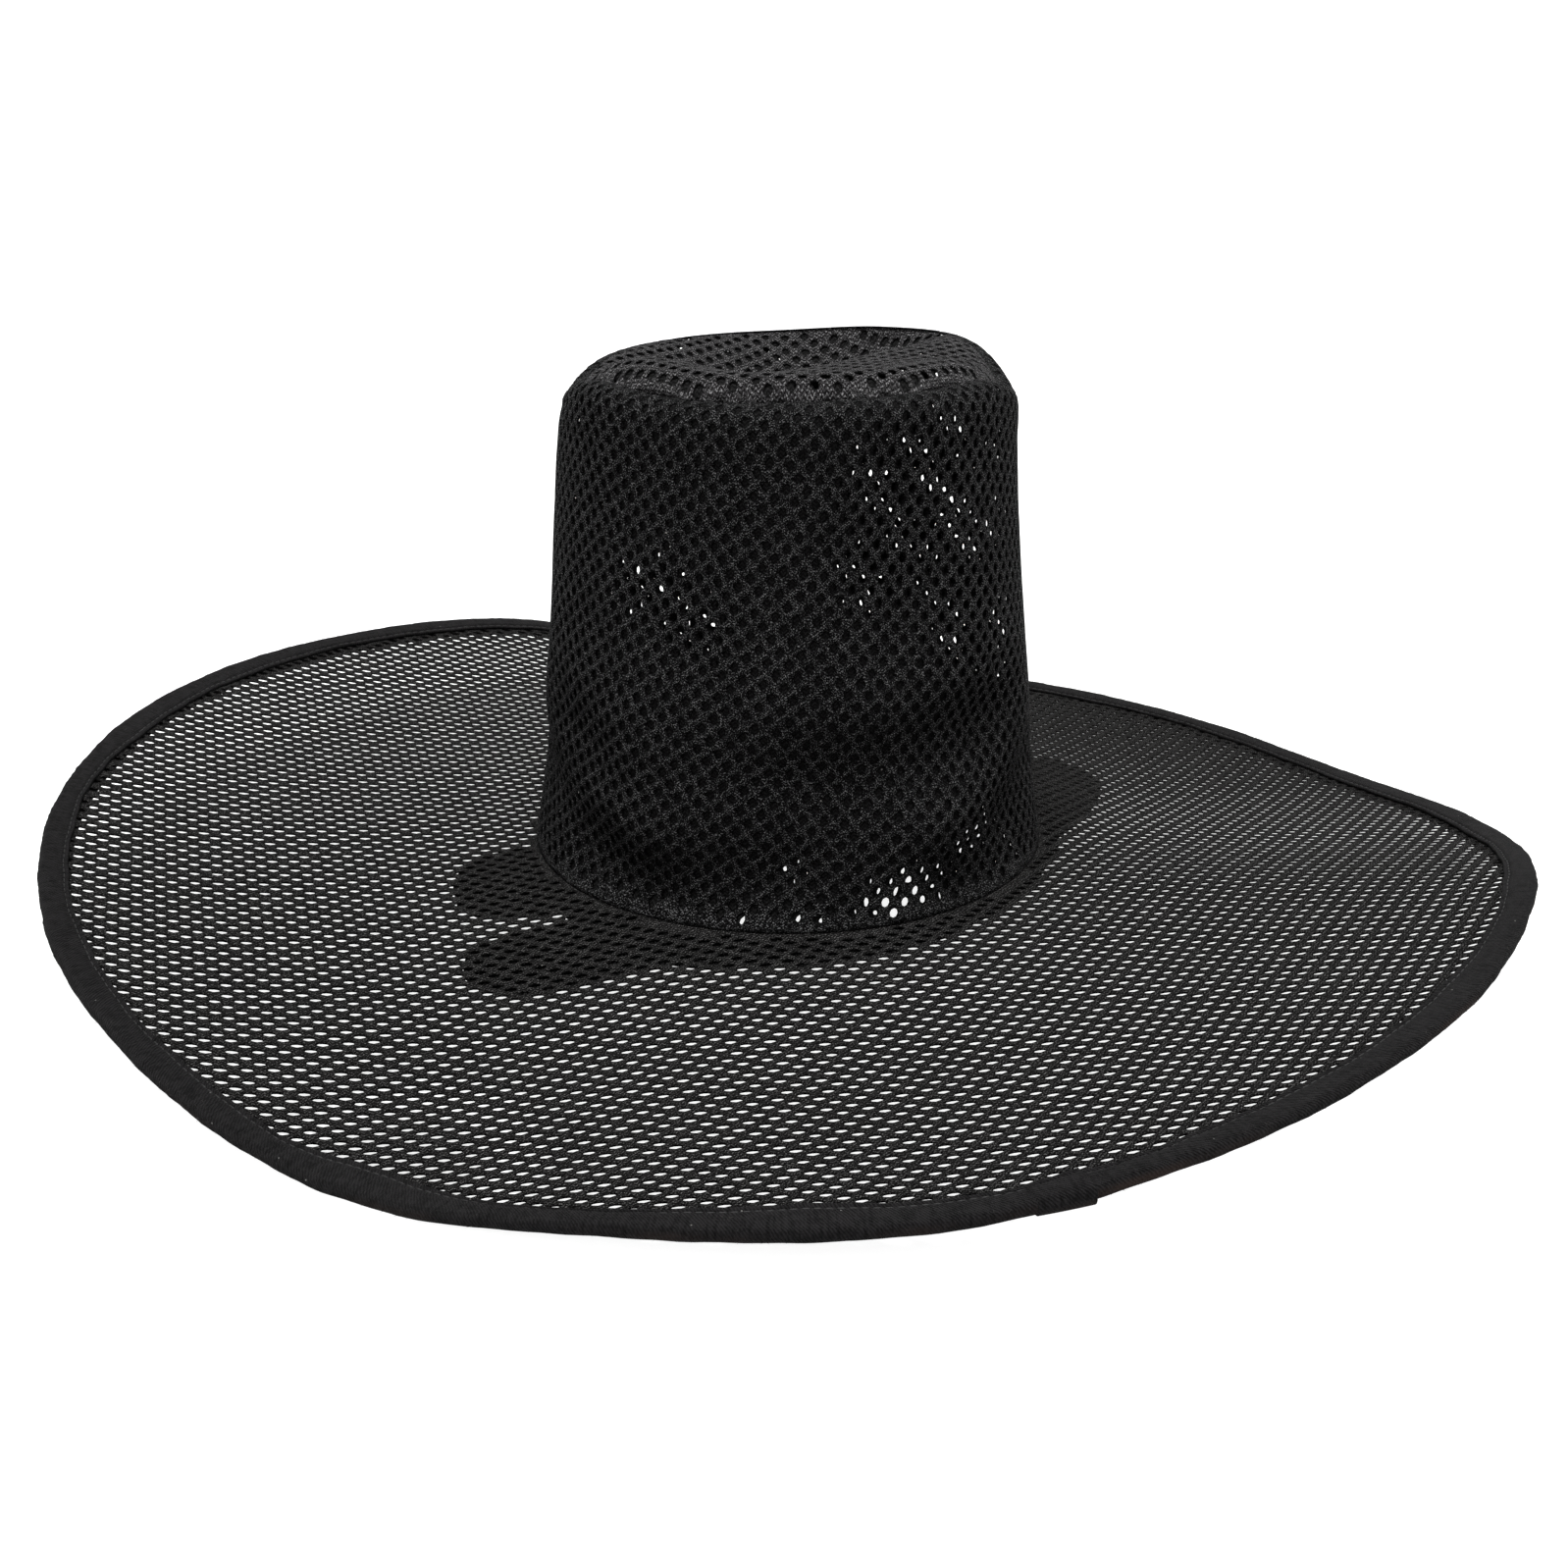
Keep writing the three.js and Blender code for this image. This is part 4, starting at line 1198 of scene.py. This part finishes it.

# %% [markdown]
# ## Dressing the pieces
#
# Each piece gets its finish, and the solid that it replaces is hidden. The table also lists the
# slot of the record that each piece stands for, and for cloth the size it was cut to, against
# which the mesh's cloth is measured. A net has holes, so what counts is the cloth that is left
# between them.

# %% Dress
# piece: finish, slot, solid that it replaces, and of a sheet its flat width and length, its flat
# area where that isn't their product, how it is held and what it rests on
BRIM_HALVES = ["brim_net_front", "brim_net_back"]
PIECES = {
    "crown_net": (
        crown_finish, "mesh_cloth", "crown_side", (0.512, 0.165), None, "stretched", BRIM_HALVES),
    "crown_lining": (
        lining_finish, "mesh_cloth", None, (0.505, 0.163), None, "stretched", ["crown_net"]),
    "tip_net": (
        tip_finish, "tip_cloth", "crown_tip", (0.138, 0.138), 0.0149, "stretched", ["crown_net"]),
    "tip_lining": (
        lining_finish, "tip_cloth", None, (0.138, 0.138), 0.0149, "stretched", ["tip_net"]),
    "brim_net_front": (
        brim_finish, "mesh_cloth", "brim", (0.489, 0.243), 0.0819, "stretched", ["binding"]),
    "brim_net_back": (
        brim_finish, "mesh_cloth", "brim", (0.489, 0.243), 0.0819, "stretched", ["binding"]),
    "band_ring": (
        band_finish, "band_cloth", "under_band", (0.592, 0.0136), None, "laid", BRIM_HALVES),
    "band_tongue_upper": (
        band_finish, "band_cloth", None, (0.05, 0.05), 0.00187, "laid", ["brim_net_front"]),
    "band_tongue_lower": (
        band_finish, "band_cloth", None, (0.08, 0.045), 0.00193, "laid", ["brim_net_front"]),
    "band_tongue_right": (
        band_finish, "band_cloth", None, (0.065, 0.12), 0.00486, "laid", ["brim_net_back"]),
    "binding": (
        tape_finish, "cotton_tape", "edge_binding", (1.54, 0.0225), None, "folded", BRIM_HALVES),
    "lap": (
        tape_finish, "cotton_tape", "binding_lap", (0.015, 0.0255), None, "folded", ["binding"]),
    "binding_stitches": (thread_finish, "cotton_tape", None),
    "binding_fuzz": (lint_finish, "cotton_tape", None),
}
for name, (finish, slot, solid, *_) in PIECES.items():
    piece = bpy.data.objects[name]
    piece.data.materials.append(finish)
    if solid:
        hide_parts(solid)


def half_surface(piece):
    """Half the surface of a closed mesh in square metres: the area of one face of the cloth."""
    areas = np.empty(len(piece.data.polygons))
    piece.data.polygons.foreach_get("area", areas)
    return float(areas.sum() / 2)


for name, (_, _, _, *cloth) in PIECES.items():
    if cloth:
        flat, area, held, rests_on = cloth
        piece = bpy.data.objects[name]
        share = half_surface(piece) / (area or flat[0] * flat[1])
        print(name, "cloth left of its flat area:", round(share, 2))

# %% [markdown]
# ## Studio
#
# The picture has no visible floor: everything round the hat is white. A wide pale bowl gives
# that from every side, a floor that curves up into a wall. It glows a little, so that the holes
# of the brim show it bright even in the hat's own shade. One broad soft light hangs over the
# hat, since the brim and the tip are lighter than the crown's wall; their yarn is also painted
# lighter, which is painted light. Two weak ones stand in front and at the right, and the sky
# fills the rest.

# %% Stage
BOWL_STEPS = 96
BOWL_LOOKS, BOWL_LIGHTS = 0.9, 0.35
bowl_line = np.array([
    [0, 0], [1000, 0], [3000, 0], [4500, 0], [5200, 120], [5700, 450], [6000, 1000], [6100, 2000],
    [6100, 6000]])
bowl_radius, bowl_height = bowl_line[1:].T
bowl_rings = outward(once_round(BOWL_STEPS))[:, None] * bowl_radius[:, None]
bowl_rings[..., 2] = bowl_height
bowl_grid = np.arange(BOWL_STEPS * 8).reshape(BOWL_STEPS, 8).T + 1
bowl_quads = grid_quads(bowl_grid, close_columns=True)
bowl_middle = faces(np.zeros(BOWL_STEPS, int), bowl_grid[0], np.roll(bowl_grid[0], -1))
bowl = make_mesh(
    "bowl", np.concatenate([[[0, 0, 0]], bowl_rings.reshape(-1, 3)]), bowl_quads, bowl_middle)
bowl_finish, paper, bowl_shader = start_material("pale_paper", roughness=0.9)
bowl_shader["Base Color"].default_value = colour(0.4)
bowl_shader["Emission Color"].default_value = colour(1.0)
# the bowl looks this bright, and lights the hat a good deal less, so that folds show
paper.feed(bowl_shader["Emission Strength"], paper.ramp(
    paper.add("LightPath")["Is Camera Ray"], 0.0, 1.0, BOWL_LIGHTS, BOWL_LOOKS))
bowl_finish.cycles.emission_sampling = "NONE"
bowl.data.materials.append(bowl_finish)

# %% Light
def soft_light(name, place, target, size, power):
    """A square area light that faces a target."""
    data = bpy.data.lights.new(name, "AREA")
    data.shape = "SQUARE"
    data.size = size
    data.energy = power
    lamp = add_object(name, data)
    lamp.location = place
    way = np.array(target, float) - np.array(place, float)
    lamp.rotation_euler = (
        math.atan2(math.hypot(way[0], way[1]), -way[2]), 0, math.atan2(-way[0], way[1]))


soft_light("over", (-0.1, -0.4, 2.2), (0, 0, 0.1), 1.2, 82)
soft_light("front", (-0.8, -2.2, 1.7), (0, 0, 0.1), 1.2, 16)
soft_light("side", (2.0, 0.9, 1.1), (0, 0, 0.05), 0.8, 17)
world = bpy.data.worlds.new("sky")
world.use_nodes = True
sky = world.node_tree.nodes["Background"].inputs
sky["Color"].default_value = colour(1.0)
sky["Strength"].default_value = 0.2
bpy.context.scene.world = world
bpy.context.scene.view_settings.view_transform = "Standard"
